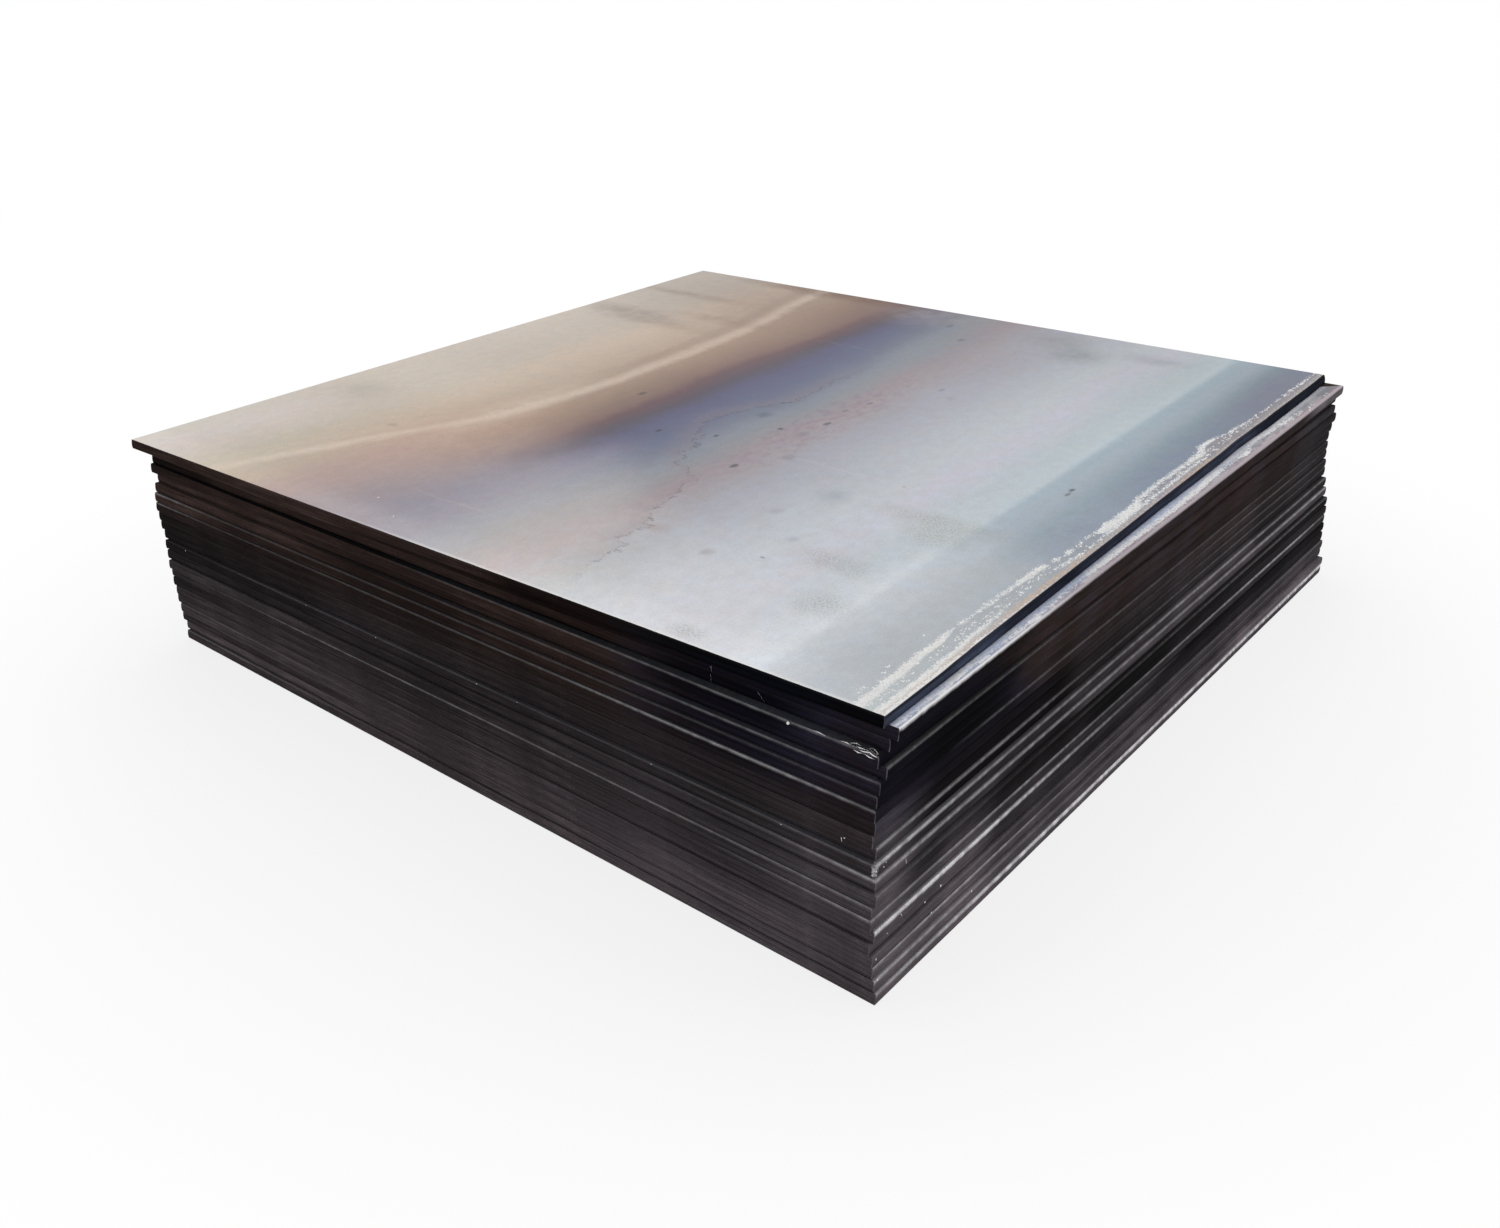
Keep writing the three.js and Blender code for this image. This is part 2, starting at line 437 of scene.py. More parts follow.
CHOSEN_TONES = {FRONT: (FRONT_TONES, FRONT_PATCHES), RIGHT: (RIGHT_TONES, RIGHT_PATCHES)}
PATCH_FADE = 55.0
LIGHTEST_TONE = 112

# How much light scale shows on the upper ledges, and how far down the arris it runs.
FAINT_LEDGE = 0.02
# More light scale shows on a ledge along rubs and painted highlights.
LEDGE_BY_RUB_AND_HIGHLIGHT = 0.25
LIP = 0.1
TOP_LIP = 1.0  # of the top plate's right edge, at its near end
HIGHLIGHT_LIP = 2.0  # of plate 2's right edge, as a painted highlight on its rounded arris

# Edges that don't run quite straight: (place along the side, how far they lie in) pairs.
RIGHT_DIPS = {
    1: (
        (-450, 0), (-300, 1.1), (-100, 2.3), (0, 3.6), (100, 2.5), (200, 2.3), (260, 3.8), (310, 2.8),
        (370, 0.4), (560, 0), (620, 0.8),
    ),
    2: ((-620, 3.4), (-300, 2.8), (0, 1.5), (300, 0.2), (620, 0)),
}
FRONT_DIPS = {2: ((200, 0), (620, 2.6))}
# How much further in the upper arris lies than the foot, where a side leans.
RIGHT_LEANS = {
    1: (
        (-540, 0.2), (-440, 0.8), (-300, 0.3), (-120, 0.2), (0, 0.5), (120, 2), (300, 2.2), (400, 4.2),
        (620, 3),
    ),
}
DIP_REACH = 20.0  # how far into the plate an edge's dip is felt
DIP_FLAT = 6.0  # and how far it is felt in full


# ---- Values at some places along one side of a plate

RIPPLE_WAVES = ((1, 0.5), (1.83, 0.3), (3.11, 0.2), (5.27, 0.15))  # stretch and height of each
# Wavelengths of what changes along the sides that face away, and their lightness.
UNSEEN_RUB_WAVE = 700.0
UNSEEN_TONE_WAVE = 1300.0
UNSEEN_COOL_WAVE = 1100.0
UNSEEN_TONE = 46
UNSEEN_TONE_SWING = 14
# Where each of these begins and where it is complete, along a side.
FRONT_COOL = (150, 480)
FRONT_LEDGE = (540, 590)  # the light ledge of plate 2
RIGHT_PALE = (430, 520)
NARROW_LIP = (-560, -460)  # of the top plate's right edge
PALE_PLATES = (6, 12)  # down the pile, pale scale in place of cool


def ease(value, start, end):
    """0 before start, 1 after end, and smooth between them."""
    share = np.clip((value - start) / (end - start), 0, 1)
    return share * share * (3 - 2 * share)


def within(value, first, full, fading, last):
    """1 from full to fading, 0 before first and after last."""
    return ease(value, first, full) * (1 - ease(value, fading, last))


def ripple(along, wavelength, seed):
    """Smooth unevenness from about -1 to 1."""
    phases = np.random.default_rng(seed).uniform(0, 2 * math.pi, len(RIPPLE_WAVES))
    total = 0
    for (stretch, height), phase in zip(RIPPLE_WAVES, phases):
        total = total + height * np.sin(2 * math.pi * stretch * along / wavelength + phase)
    return total


def amounts(points, places):
    """The amounts at some places, from (place, amount) points."""
    return np.interp(places, *zip(*points))


def rub_along(side, plate, along):
    """How bare the upper arris is rubbed, with painted highlights on the front and right sides."""
    if side in CHOSEN_RUBS_AND_HIGHLIGHTS:
        return amounts(CHOSEN_RUBS_AND_HIGHLIGHTS[side].get(plate, FAINT_RUB), along)
    strongest = UNSEEN_RUBS[(plate * (side + 2)) % len(UNSEEN_RUBS)]
    return strongest * (0.5 + 0.4 * ripple(along, UNSEEN_RUB_WAVE, 40 * side + plate))


def cool_along(side, plate, along):
    """How far the brown scale turns blue-black."""
    if side == FRONT:
        return 0.65 * ease(along, *FRONT_COOL) * (1 - ease(plate, *PALE_PLATES))
    if side == RIGHT and plate == TOP_PLATE:
        return 1.0
    if side == RIGHT:
        border = -450 + 25 * (min(plate, 11) - 3)
        near = (1 - ease(along, border - 60, border + 80)) * (1 - 0.8 * ease(plate, 10, 14))
        return np.maximum(near, 0.28 * (1 - ease(plate, 17, 19)))
    return 0.3 + 0.3 * ripple(along + 90 * plate, UNSEEN_COOL_WAVE, side)


def pale_along(side, plate, along):
    """How far the brown scale turns pinkish grey."""
    if side == FRONT:
        return ease(plate, *PALE_PLATES) * (0.8 + 0.15 * ease(along, -50, 520))
    if side == RIGHT and plate == TOP_PLATE:
        return 0.0
    if side == RIGHT:
        return 0.2 + 0.8 * np.maximum(ease(plate, *PALE_PLATES), ease(along, *RIGHT_PALE))
    return 0.6 * ease(plate, 8, 22)


def tone_along(side, plate, along):
    """How light the sides are painted on a colour picker, from 0 to 255: the scale's tone with painted
    shade in it.
    """
    if side not in CHOSEN_TONES:
        wave = ripple(along + 130 * plate, UNSEEN_TONE_WAVE, 3 * plate + side)
        return UNSEEN_TONE + UNSEEN_TONE_SWING * wave
    tones, patches = CHOSEN_TONES[side]
    tone = np.full(len(along), amounts(tones, plate))
    for first, last, start, end, patch_tone in patches:
        if first <= plate <= last:
            edges = [place + fade for place in (start, end) for fade in (-PATCH_FADE, PATCH_FADE)]
            tone += within(along, *edges) * (patch_tone - tone)
    return tone


def ledge_along(side, plate, along):
    """How much light scale shows on the upper ledge, more along rubs and painted highlights."""
    if plate == TOP_PLATE or (plate == 2 and side == RIGHT):
        return 1.0
    if plate == 2 and side == FRONT:
        return ease(along, *FRONT_LEDGE)
    return FAINT_LEDGE + LEDGE_BY_RUB_AND_HIGHLIGHT * rub_along(side, plate, along)


def lip_along(side, plate, along):
    """How far down over the arris the ledge's light scale runs."""
    if side == RIGHT and plate == 2:
        return HIGHLIGHT_LIP
    if side == RIGHT and plate == TOP_PLATE:
        return LIP + (TOP_LIP - LIP) * (1 - ease(along, *NARROW_LIP))
    return LIP


# ---- The outline of a plate

def side_shares(length):
    """Places along a side as shares of it: close together near its ends, then even."""
    straight = length - 2 * UPRIGHT_RADIUS
    near = np.array(CORNER_STATIONS)
    far = straight - near[::-1]
    steps = round((far[0] - near[-1]) / STATION)
    middle = np.linspace(near[-1], far[0], steps + 1)[1:-1]
    return np.concatenate([near, middle, far]) / straight


def corner_round(height, reach, radius):
    """How far a rounded corner is pulled in, this far from its face."""
    share = min(1.0, height / radius)
    return reach * (1 - math.sqrt(max(0.0, 1 - (1 - share) ** 2)))


def mill_inset(z):
    half = THICKNESS / 2 - CORNER_RADIUS
    from_middle = min(1.0, abs(z - THICKNESS / 2) / half)
    foot = corner_round(min(z, THICKNESS - z), CORNER_RADIUS, CORNER_RADIUS)
    return CROWN * from_middle ** 2 + foot


def sheared_inset(z):
    """The inset of an end that rolled over at its foot and tore towards its crest."""
    torn_from = ROLL_OVER_HEIGHT + BURNISHED_HEIGHT
    torn = TORN_LEAN * max(0.0, z - torn_from) / (THICKNESS - torn_from)
    return corner_round(z, ROLL_OVER_REACH, ROLL_OVER_HEIGHT) + torn


def side_inset(side, z):
    """How far a side lies in from the plate's full size, at one height."""
    if side in (LEFT, RIGHT):
        return mill_inset(z)
    return sheared_inset(z if side == FRONT else THICKNESS - z)


def unevenness(side, z):
    """How deep the roughness of a side goes at one height."""
    if side in (LEFT, RIGHT):
        return MILL_ROUGHNESS
    from_torn_arris = THICKNESS - z if side == FRONT else z
    torn_height = THICKNESS - ROLL_OVER_HEIGHT - BURNISHED_HEIGHT
    return TORN_ROUGHNESS if from_torn_arris < torn_height else BURNISHED_ROUGHNESS


class Outline:
    """The stations round a plate, counted from the front left corner, anticlockwise from above.

    Every station lies on a circle of UPRIGHT_RADIUS. The circle's middle is at shares of the way
    across and along the plate, and the station is on it in the direction of its normal.
    """

    def __init__(self):
        across = side_shares(WIDTH)
        along = side_shares(LENGTH)
        side_runs = {
            FRONT: [(share, 0.0) for share in across],
            RIGHT: [(1.0, share) for share in along],
            BACK: [(share, 1.0) for share in across[::-1]],
            LEFT: [(0.0, share) for share in along[::-1]],
        }
        rows = []
        for side, run in side_runs.items():
            rows += [(side, *shares, 0.0) for shares in run]
            rows += [(side, *run[-1], angle) for angle in ARC_ANGLES]
        rows = np.array(rows)
        self.side = rows[:, 0].astype(int)
        self.share = rows[:, 1:3]
        self.turned = rows[:, 3] / 90
        angle = np.radians((self.side - 1) * 90 + rows[:, 3])
        self.normal = np.stack([np.cos(angle), np.sin(angle)], axis=1)
        straight = np.array([WIDTH, LENGTH]) - 2 * UPRIGHT_RADIUS
        middle = (self.share - 0.5) * straight
        self.place = np.where(self.side % 2 == 0, middle[:, 0], middle[:, 1])
        same = np.all(np.isclose(self.share, np.roll(self.share, 1, axis=0)), axis=1)
        self.circle = (np.cumsum(~same) - 1) % np.count_nonzero(~same)
        self.circle_share = self.share[~same]

    def circle_middles(self, z, shares):
        """Where the stations' circles lie at one height."""
        inset = [side_inset(side, z) + UPRIGHT_RADIUS for side in range(4)]
        low = np.array([inset[LEFT] - WIDTH / 2, inset[FRONT] - LENGTH / 2])
        high = np.array([WIDTH / 2 - inset[RIGHT], LENGTH / 2 - inset[BACK]])
        return low + shares * (high - low)

    def ring(self, z):
        """The plain outline at one height, as (x, y) points."""
        return self.circle_middles(z, self.share) + self.normal * UPRIGHT_RADIUS

    def shoulder(self, z):
        """The middles of the circles, each one once: a ring just inside the arris."""
        return self.circle_middles(z, self.circle_share)


OUTLINE = Outline()
STATIONS = len(OUTLINE.side)
CREST_LEVELS = tuple(THICKNESS - z for z in reversed(CORNER_LEVELS))
LEVELS = np.array(CORNER_LEVELS + MIDDLE_LEVELS + CREST_LEVELS)
ABOVE_FOOT = LEVELS[:, None]
BELOW_CREST = THICKNESS - ABOVE_FOOT


# ---- The dressed plates

class MeshParts:
    """Points with their values, and faces, gathered into one mesh, and its random numbers."""

    def __init__(self, seed):
        self.random = np.random.default_rng(seed)
        self.points = []
        self.faces = []
        self.values = {name: [] for name in ("rub", "cool", "pale", "tone", "upper")}
        self.count = 0

    def put(self, points, **values):
        """Adds points and returns their numbers."""
        points = np.asarray(points, float).reshape(-1, 3)
        self.points.append(points)
        for name, gathered in self.values.items():
            gathered.append(np.broadcast_to(values.get(name, 0.0), len(points)))
        first = self.count
        self.count += len(points)
        return list(range(first, self.count))

    def band(self, lower, higher):
        """Faces between two closed loops of as many points, the first below or outside."""
        for index in range(len(lower)):
            after = (index + 1) % len(lower)
            corners = (lower[index], lower[after], higher[after], higher[index])
            self.faces.append(tuple(dict.fromkeys(corners)))

    def loft(self, rings):
        """A closed body through loops of points, with a face at each end."""
        for lower, higher in zip(rings, rings[1:]):
            self.band(lower, higher)
        self.faces.append(tuple(rings[-1]))
        self.faces.append(tuple(reversed(rings[0])))

    def mesh(self, name, sharp_angle=38.0):
        mesh = bpy.data.meshes.new(name)
        points = np.concatenate(self.points) * MM
        mesh.from_pydata(points.tolist(), [], self.faces)
        for label, gathered in self.values.items():
            attribute = mesh.attributes.new(label, "FLOAT", "POINT")
            numbers = np.clip(np.concatenate(gathered), 0, 1)
            attribute.data.foreach_set("value", numbers.astype(np.float32))
        mesh.shade_smooth()
        mesh.set_sharp_from_angle(angle=math.radians(sharp_angle))
        return mesh


# Heights, or depths below the crest, between which each of these begins and ends.
FOOT_SHADE = (1.2, 4.2)
HEAD_DARKENING = (8.0, 11.5)
LEDGE_SHADE = (0.2, 1.0)
ARRIS_RUB_AND_HIGHLIGHT = (1.2, 2.8)
FOOT_RUB_AND_HIGHLIGHT = (0.8, 5.5)
FLAT_OF_ARRIS = 0.3  # down to here the rub and painted highlight are fainter than below
FLAT_RUB_AND_HIGHLIGHT = 0.6  # and this is what is left of it
UPRIGHT_RUB = 0.2  # of the upright corners


def beyond_knock(points, depth):
    """How far points lie past the slant that a knock leaves at the front right corner."""
    return (points[:, 0] - WIDTH / 2) - (points[:, 1] + LENGTH / 2) + depth


def knock(points, z, random):
    """Pushes in the front corner of plate 12: deeper at its crest, and battered."""
    depth = KNOCK * (0.75 + 0.3 * z / THICKNESS) + random.uniform(-1.0, 0.6, len(points))
    push = np.maximum(0, beyond_knock(points, depth)) / 2
    return points + np.stack([-push, push], axis=1)


def near_edge(distance, half_size):
    """0 inside a plate, and 1 along its edge, for how far points lie from its middle."""
    return ease(distance, half_size - DIP_REACH, half_size - DIP_FLAT)


def dipped(points, plate, z):
    """Pulls in the edges of a plate where they don't run quite straight."""
    moved = points.copy()
    at_right = near_edge(points[:, 0], WIDTH / 2)
    if plate in RIGHT_DIPS:
        moved[:, 0] -= at_right * amounts(RIGHT_DIPS[plate], points[:, 1])
    if plate in RIGHT_LEANS:
        moved[:, 0] -= at_right * amounts(RIGHT_LEANS[plate], points[:, 1]) * z / THICKNESS
    if plate in FRONT_DIPS:
        at_front = near_edge(-points[:, 1], LENGTH / 2)
        moved[:, 1] += at_front * amounts(FRONT_DIPS[plate], points[:, 0])
    return moved


def side_values(function, plate):
    """A value at every station, from a function of side, plate and place."""
    values = np.zeros(STATIONS)
    for side in range(4):
        here = OUTLINE.side == side
        values[here] = function(side, plate, OUTLINE.place[here])
    return values


def darkening(table, plate):
    """How much darker part of a side is made at every station."""
    def darkening_along(side, plate, along):
        return amounts(table.get(side, {}).get(plate, UNDARKENED), along)
    return side_values(darkening_along, plate)


def lightness_kept(plate):
    """How much of its lightness each level and station keeps beside the painted shade in the gaps and
    on the ledges, and the darker heads.
    """
    foot = 1 - darkening(SHADED_FEET, plate) * (1 - ease(ABOVE_FOOT, *FOOT_SHADE))
    head = 1 - darkening(DARKER_HEADS, plate) * ease(ABOVE_FOOT, *HEAD_DARKENING)
    ledge = 1 - darkening(SHADED_LEDGES, plate) * (1 - ease(BELOW_CREST, *LEDGE_SHADE))
    return foot * head * ledge


def bareness_and_highlight(plate, random):
    """How bare the metal is at each level and station, with the painted highlights along the arrises.
    """
    amount = side_values(rub_along, plate) * (1 + 0.25 * random.uniform(-1, 1, STATIONS))
    band = 1 - ease(BELOW_CREST / (1 + amount), *ARRIS_RUB_AND_HIGHLIGHT)
    flat = 1 - (1 - FLAT_RUB_AND_HIGHLIGHT) * (1 - ease(BELOW_CREST, 0, FLAT_OF_ARRIS))
    arris = band * flat * amount
    uneven = 0.6 + 0.4 * ripple(ABOVE_FOOT, 30.0, plate)
    upright = UPRIGHT_RUB * within(OUTLINE.turned, 0, 0.3, 0.7, 1) * uneven
    bare_and_highlit = np.maximum(arris, upright)
    if plate in RIGHT_FOOT_RUBS_AND_HIGHLIGHTS:
        foot = amounts(RIGHT_FOOT_RUBS_AND_HIGHLIGHTS[plate], OUTLINE.place) * (OUTLINE.side == RIGHT)
        bare_and_highlit = np.maximum(bare_and_highlit, foot * (1 - ease(ABOVE_FOOT, *FOOT_RUB_AND_HIGHLIGHT)))
    if plate == KNOCKED_PLATE:
        over = beyond_knock(OUTLINE.ring(THICKNESS / 2), KNOCK)
        battered = ease(over + 1.4 * ripple(ABOVE_FOOT, 9.0, plate), -0.2, 1.4)
        bare_and_highlit = np.maximum(bare_and_highlit, battered * random.uniform(0.1, 1.0, battered.shape))
    return bare_and_highlit


def plate_mesh(plate):
    """One plate as one closed mesh."""
    parts = MeshParts(100 + plate)
    random = parts.random
    crest = THICKNESS - (CRUST_ROOM if plate == TOP_PLATE else 0.0)
    bare_and_highlit = bareness_and_highlight(plate, random)
    tone = linear(side_values(tone_along, plate)) / linear(LIGHTEST_TONE)
    kept_light = lightness_kept(plate)
    values = {"cool": side_values(cool_along, plate), "pale": side_values(pale_along, plate)}
    ledge = side_values(ledge_along, plate)
    lip = side_values(lip_along, plate)
    waves = ripple(OUTLINE.place, WAVELENGTH, 7 * plate) + 1.2
    waves = WAVE_HEIGHT * waves * (OUTLINE.turned == 0)
    rows = []
    for level, z in enumerate(LEVELS):
        depth = np.array([unevenness(side, z) for side in range(4)])[OUTLINE.side]
        inset = waves + depth * random.uniform(0, 1, STATIONS)
        points = OUTLINE.ring(z) - OUTLINE.normal * inset[:, None]
        if plate == KNOCKED_PLATE:
            points = knock(points, z, random)
        points = dipped(points, plate, z)
        height = np.full((STATIONS, 1), z * crest / THICKNESS)
        upper = ledge * ease(z, THICKNESS - lip, THICKNESS - lip / 2)
        # The tone, darkened by the painted shade in the gaps and on the ledges.
        values["tone"] = tone * kept_light[level]
        rows.append(parts.put(np.hstack([points, height]), rub=bare_and_highlit[level], upper=upper, **values))
    for lower, higher in zip(rows, rows[1:]):
        parts.band(lower, higher)
    first_of_circle = np.unique(OUTLINE.circle, return_index=True)[1]
    values = {name: numbers[first_of_circle] for name, numbers in values.items()}
    for z, row, upper in ((THICKNESS, rows[-1], ledge[first_of_circle]), (0.0, rows[0], 0.0)):
        plain = OUTLINE.shoulder(z)
        shoulder = plain
        if plate == KNOCKED_PLATE:
            shoulder = knock(plain, z + THICKNESS, np.random.default_rng(plate))
        shoulder = dipped(shoulder, plate, z)
        height = np.full((len(plain), 1), z * crest / THICKNESS)
        around = parts.put(np.hstack([shoulder, height]), upper=upper, **values)
        shrunk = plain * (1 - 2 * CAP_INSET / WIDTH)
        inner = parts.put(np.hstack([shrunk, height]), upper=upper, **values)
        outer = [around[circle] for circle in OUTLINE.circle]
        if z > 0:
            parts.band(row, outer)
            parts.band(around, inner)
            parts.faces.append(tuple(inner))
        else:
            parts.band(outer, row)
            parts.band(inner, around)
            parts.faces.append(tuple(reversed(inner)))
    return parts.mesh(f"dressed_plate_{plate:02d}")


# ---- Flakes of scale

# Lines of lifted scale along the right rim of the top plate: y, x, half width, share covered.
INNER_LINE = (
    (-629, 595.5, 5.5, 1), (-560, 593, 5.5, 1), (-515, 591.5, 5, 1), (-478, 590.5, 4.5, 1),
    (-452, 589.5, 3.5, 0.7), (-442, 589, 3, 0.1), (-430, 589, 4.5, 0.7), (-398, 590, 3, 0.3),
    (-385, 590.5, 4.5, 0.7), (-345, 591, 4, 0.6), (-316, 591.5, 4.5, 0.8), (-257, 593, 4.5, 0.9),
    (-247, 594, 3, 0.2), (-236, 596.5, 5, 0.8), (-222, 598, 3, 0.3), (-210, 599, 4, 0.8),
    (-190, 598, 4, 0.45), (-144, 599, 4.5, 0.5), (-134, 603, 5.5, 1), (-60, 604, 7, 1),
    (-25, 601, 5.5, 0.9), (0, 596.5, 4, 0.8), (50, 596, 4, 0.8), (127, 598, 4.5, 0.8),
    (165, 599, 6, 0.9), (195, 594, 6.5, 0.9), (215, 590, 4, 0.9), (250, 592, 3.5, 0.7),
    (275, 597, 3, 0.5), (310, 601, 3.5, 0.7), (335, 603, 3, 0.6), (400, 604, 3, 0.25),
    (470, 605, 3.5, 0.35), (560, 606, 3.5, 0.45), (629, 607, 3, 0.2),
)
OUTER_LINE = (
    (-629, 615, 3.5, 1), (-550, 615, 3.3, 1), (-500, 613.5, 3.3, 0.9), (-450, 611.5, 3.5, 0.9),
    (-410, 610, 3.5, 0.7), (-375, 608, 3, 0.5), (-345, 606, 3, 0.4), (-316, 604, 3, 0.3),
    (-286, 605, 3, 0.2), (-260, 607, 3.5, 0.3), (-240, 609, 4, 0.7), (-215, 612, 3.5, 0.6),
    (-180, 613, 3, 0.4), (-150, 611, 3, 0.4), (-120, 611, 4, 0.8), (-60, 610, 3.5, 0.7),
    (0, 609, 3.5, 0.7), (85, 609, 3.5, 0.7), (150, 608, 3.5, 0.6), (210, 608, 3, 0.3),
    (300, 608, 3, 0.1), (629, 608, 3, 0),
)
BETWEEN_THEM = ((-629, 605, 6, 0.7), (-300, 599, 5, 0.5), (150, 602, 4, 0.4), (629, 607, 4, 0.1))
INLAND = ((-615, 582, 5, 0.5), (-560, 581, 4, 0.3), (-540, 578, 3, 0.1))
# Flakes that lie alone further in: x, y, size.
LONE_FLAKES = ((572, -475, 1.6), (259, -591, 1.3), (-166, -562, 1.4), (-102, -590, 1.1))
# The patches on plate 2's ledge: y, x, half width, share covered.
LEDGE_PATCHES = (
    (-622, 616, 3, 0.3), (-530, 616, 3, 0.2), (-512, 615, 3, 1), (-490, 614, 3, 0.6),
    (-470, 617, 2, 0.9), (-445, 617, 3, 0.2), (-405, 616, 3, 0.7), (-350, 616, 3, 0.5),
    (-250, 614, 3, 0.1), (-230, 611, 3.5, 0.8), (-190, 612, 4, 1), (-100, 612, 4, 1),
    (-50, 613, 4.5, 0.8), (0, 613, 4.5, 0.9), (50, 612, 4.5, 1), (100, 611, 4.5, 1), (150, 609, 4, 1),
    (190, 609, 4, 0.25), (215, 611, 4, 0.25), (250, 613, 4, 1), (275, 608, 3, 0.5), (300, 603, 3, 0.8),
    (345, 607, 4, 0.8), (400, 610, 4.5, 0.75), (445, 612, 6, 0.4), (500, 618, 4, 0.2),
    (600, 618, 4, 0.2),
)
CORNERS_OF_FLAKE = 7
THINNEST_FLAKE = 0.06
THICKEST_FLAKE = 0.26
FLAKE_ROOT = 0.05  # how deep a flake's underside lies in the plate
FLAKE_TOP = 0.82  # how wide a flake's upper face is beside its lower one
# The least and the most of each.
CLUMP_STEPS = (3.0, 7.0)  # from one clump of flakes to the next
CLUMP_COUNTS = (3, 8)  # flakes in a clump, the last number left out
FLAKE_REACHES = (0.35, 1.1)
FLAKE_STRETCHES = (1.0, 2.4)
CORNER_REACHES = (0.6, 1.15)
CLUMP_SPREAD = 2.0  # how far the flakes of a clump lie apart, along their line
LINE_SPREAD = 0.35  # and across it, as a share of its half width
TURN_SPREAD = 0.35  # radians
LINE_END = 3.0  # how far before a line's ends its flakes stop
# Along, across and away from the face that a flake lies on.
TOP_AXES = np.eye(3)
SIDE_AXES = {
    FRONT: np.array(((1, 0, 0), (0, 0, 1), (0, -1, 0))),
    RIGHT: np.array(((0, 1, 0), (0, 0, 1), (1, 0, 0))),
}


def put_flake(parts, place, axes, sizes, turn):
    """One irregular flake with a bevelled rim: a closed body on a face with the given axes."""
    random = parts.random
    count = CORNERS_OF_FLAKE
    angles = 2 * math.pi * (np.arange(count) + random.uniform(-0.3, 0.3, count)) / count
    radii = random.uniform(*CORNER_REACHES, count)
    outline = np.stack([np.cos(angles) * radii * sizes[0], np.sin(angles) * radii * sizes[1]], axis=1)
    spun = np.array([[math.cos(turn), math.sin(turn)], [-math.sin(turn), math.cos(turn)]])
    outline = outline @ spun @ axes[:2]
    thickness = random.uniform(THINNEST_FLAKE, THICKEST_FLAKE)
    low = parts.put(np.array(place) + outline - FLAKE_ROOT * axes[2], rub=1.0)
    high = parts.put(np.array(place) + outline * FLAKE_TOP + thickness * axes[2], rub=1.0)
    parts.loft([low, high])


def scatter_flakes(parts, line, face):
    """Clumps of lifted scale along a line on a flat face."""
    random = parts.random
    places, middles, half_widths, shares = zip(*line)
    nearest = places[0] + LINE_END
    furthest = places[-1] - LINE_END
    along = nearest
    while along < furthest:
        along += random.uniform(*CLUMP_STEPS)
        if random.uniform(0, 1) > np.interp(along, places, shares):
            continue
        half_width = np.interp(along, places, half_widths)
        middle = np.interp(along, places, middles) + random.normal(0, 0.3) * half_width
        for _ in range(random.integers(*CLUMP_COUNTS)):
            x = middle + random.normal(0, LINE_SPREAD) * half_width
            y = np.clip(along + random.normal(0, CLUMP_SPREAD), nearest, furthest)
            reach = random.uniform(*FLAKE_REACHES)
            sizes = (reach, reach * random.uniform(*FLAKE_STRETCHES))
            put_flake(parts, (x, y, face), TOP_AXES, sizes, random.normal(0, TURN_SPREAD))


def rim_flakes():
    """The flaked scale along the right rim of the top plate, and a few flakes further in."""
    parts = MeshParts(7)
    face = THICKNESS - CRUST_ROOM
    for line in 2 * (INNER_LINE,) + 2 * (OUTER_LINE,) + (BETWEEN_THEM, INLAND):
        scatter_flakes(parts, line, face)
    for x, y, reach in LONE_FLAKES:
        put_flake(parts, (x, y, face), TOP_AXES, (reach, 1.4 * reach), 0.4)
    return parts.mesh("rim_flakes")


def ledge_flakes():
    """The flaked scale on the ledge of plate 2, below the top plate's right edge."""
    parts = MeshParts(8)
    for _ in range(2):
        scatter_flakes(parts, LEDGE_PATCHES, THICKNESS)
    return parts.mesh("ledge_flakes")


# ---- Chips, ticks and burrs

# Bright chips and ticks on the sides of a plate: place along the side, height, half length,
# half height, and lean in degrees.
FRONT_CHIPS = {
    2: ((404, 3.5, 0.07, 3.4, 5),),
    3: ((413, 7, 0.07, 6.5, 5), (476, 7, 0.08, 9.5, 45)),
    11: ((585, 8, 0.5, 4, 12), (588, 11, 1.4, 0.7, 30)),
    12: (
        (-570, 11, 1.2, 0.5, -30), (-278, 12.6, 1, 0.4, 0), (-130, 12.6, 1.1, 0.4, 0),
        (60, 12.6, 1.4, 0.5, 0), (130, 12.6, 1, 0.4, 0), (338, 12.6, 1.3, 0.5, 0),
        (512, 12.6, 1.5, 0.5, 0),
    ),
}
RIGHT_CHIPS = {
    12: ((-615, 6, 1, 1.2, 0), (-611, 9, 0.8, 1.2, 20)),
    13: ((-577, 7, 0.5, 4.5, 8),),
    17: ((-582, 7, 0.5, 3, 30),),
    18: ((-501, 7, 1.5, 1.7, 0), (-530, 4.5, 1.5, 1.7, 0), (-598, 9, 0.5, 2.6, 30)),
    19: ((-522, 1.4, 1.2, 1, 0), (-622, 9, 1, 1.8, 0)),
    21: ((-447, 12.4, 1.5, 1.3, 0), (-622, 13, 1.5, 1.5, 0)),
}
SHARP_CHIPS = 60.0  # the least angle that stays sharp on chips and burrs


def side_chips(plate):
    """The bright chips and ticks on the front and the right side of one plate."""
    parts = MeshParts(300 + plate)
    for side, chips in ((FRONT, FRONT_CHIPS), (RIGHT, RIGHT_CHIPS)):
        for along, z, *sizes, lean in chips.get(plate, ()):
            place = (along, sheared_inset(z) - LENGTH / 2, z)
            if side == RIGHT:
                place = (WIDTH / 2 - mill_inset(z), along, z)
            put_flake(parts, place, SIDE_AXES[side], sizes, math.radians(lean))
    return parts.mesh(f"chips_{plate:02d}", SHARP_CHIPS)


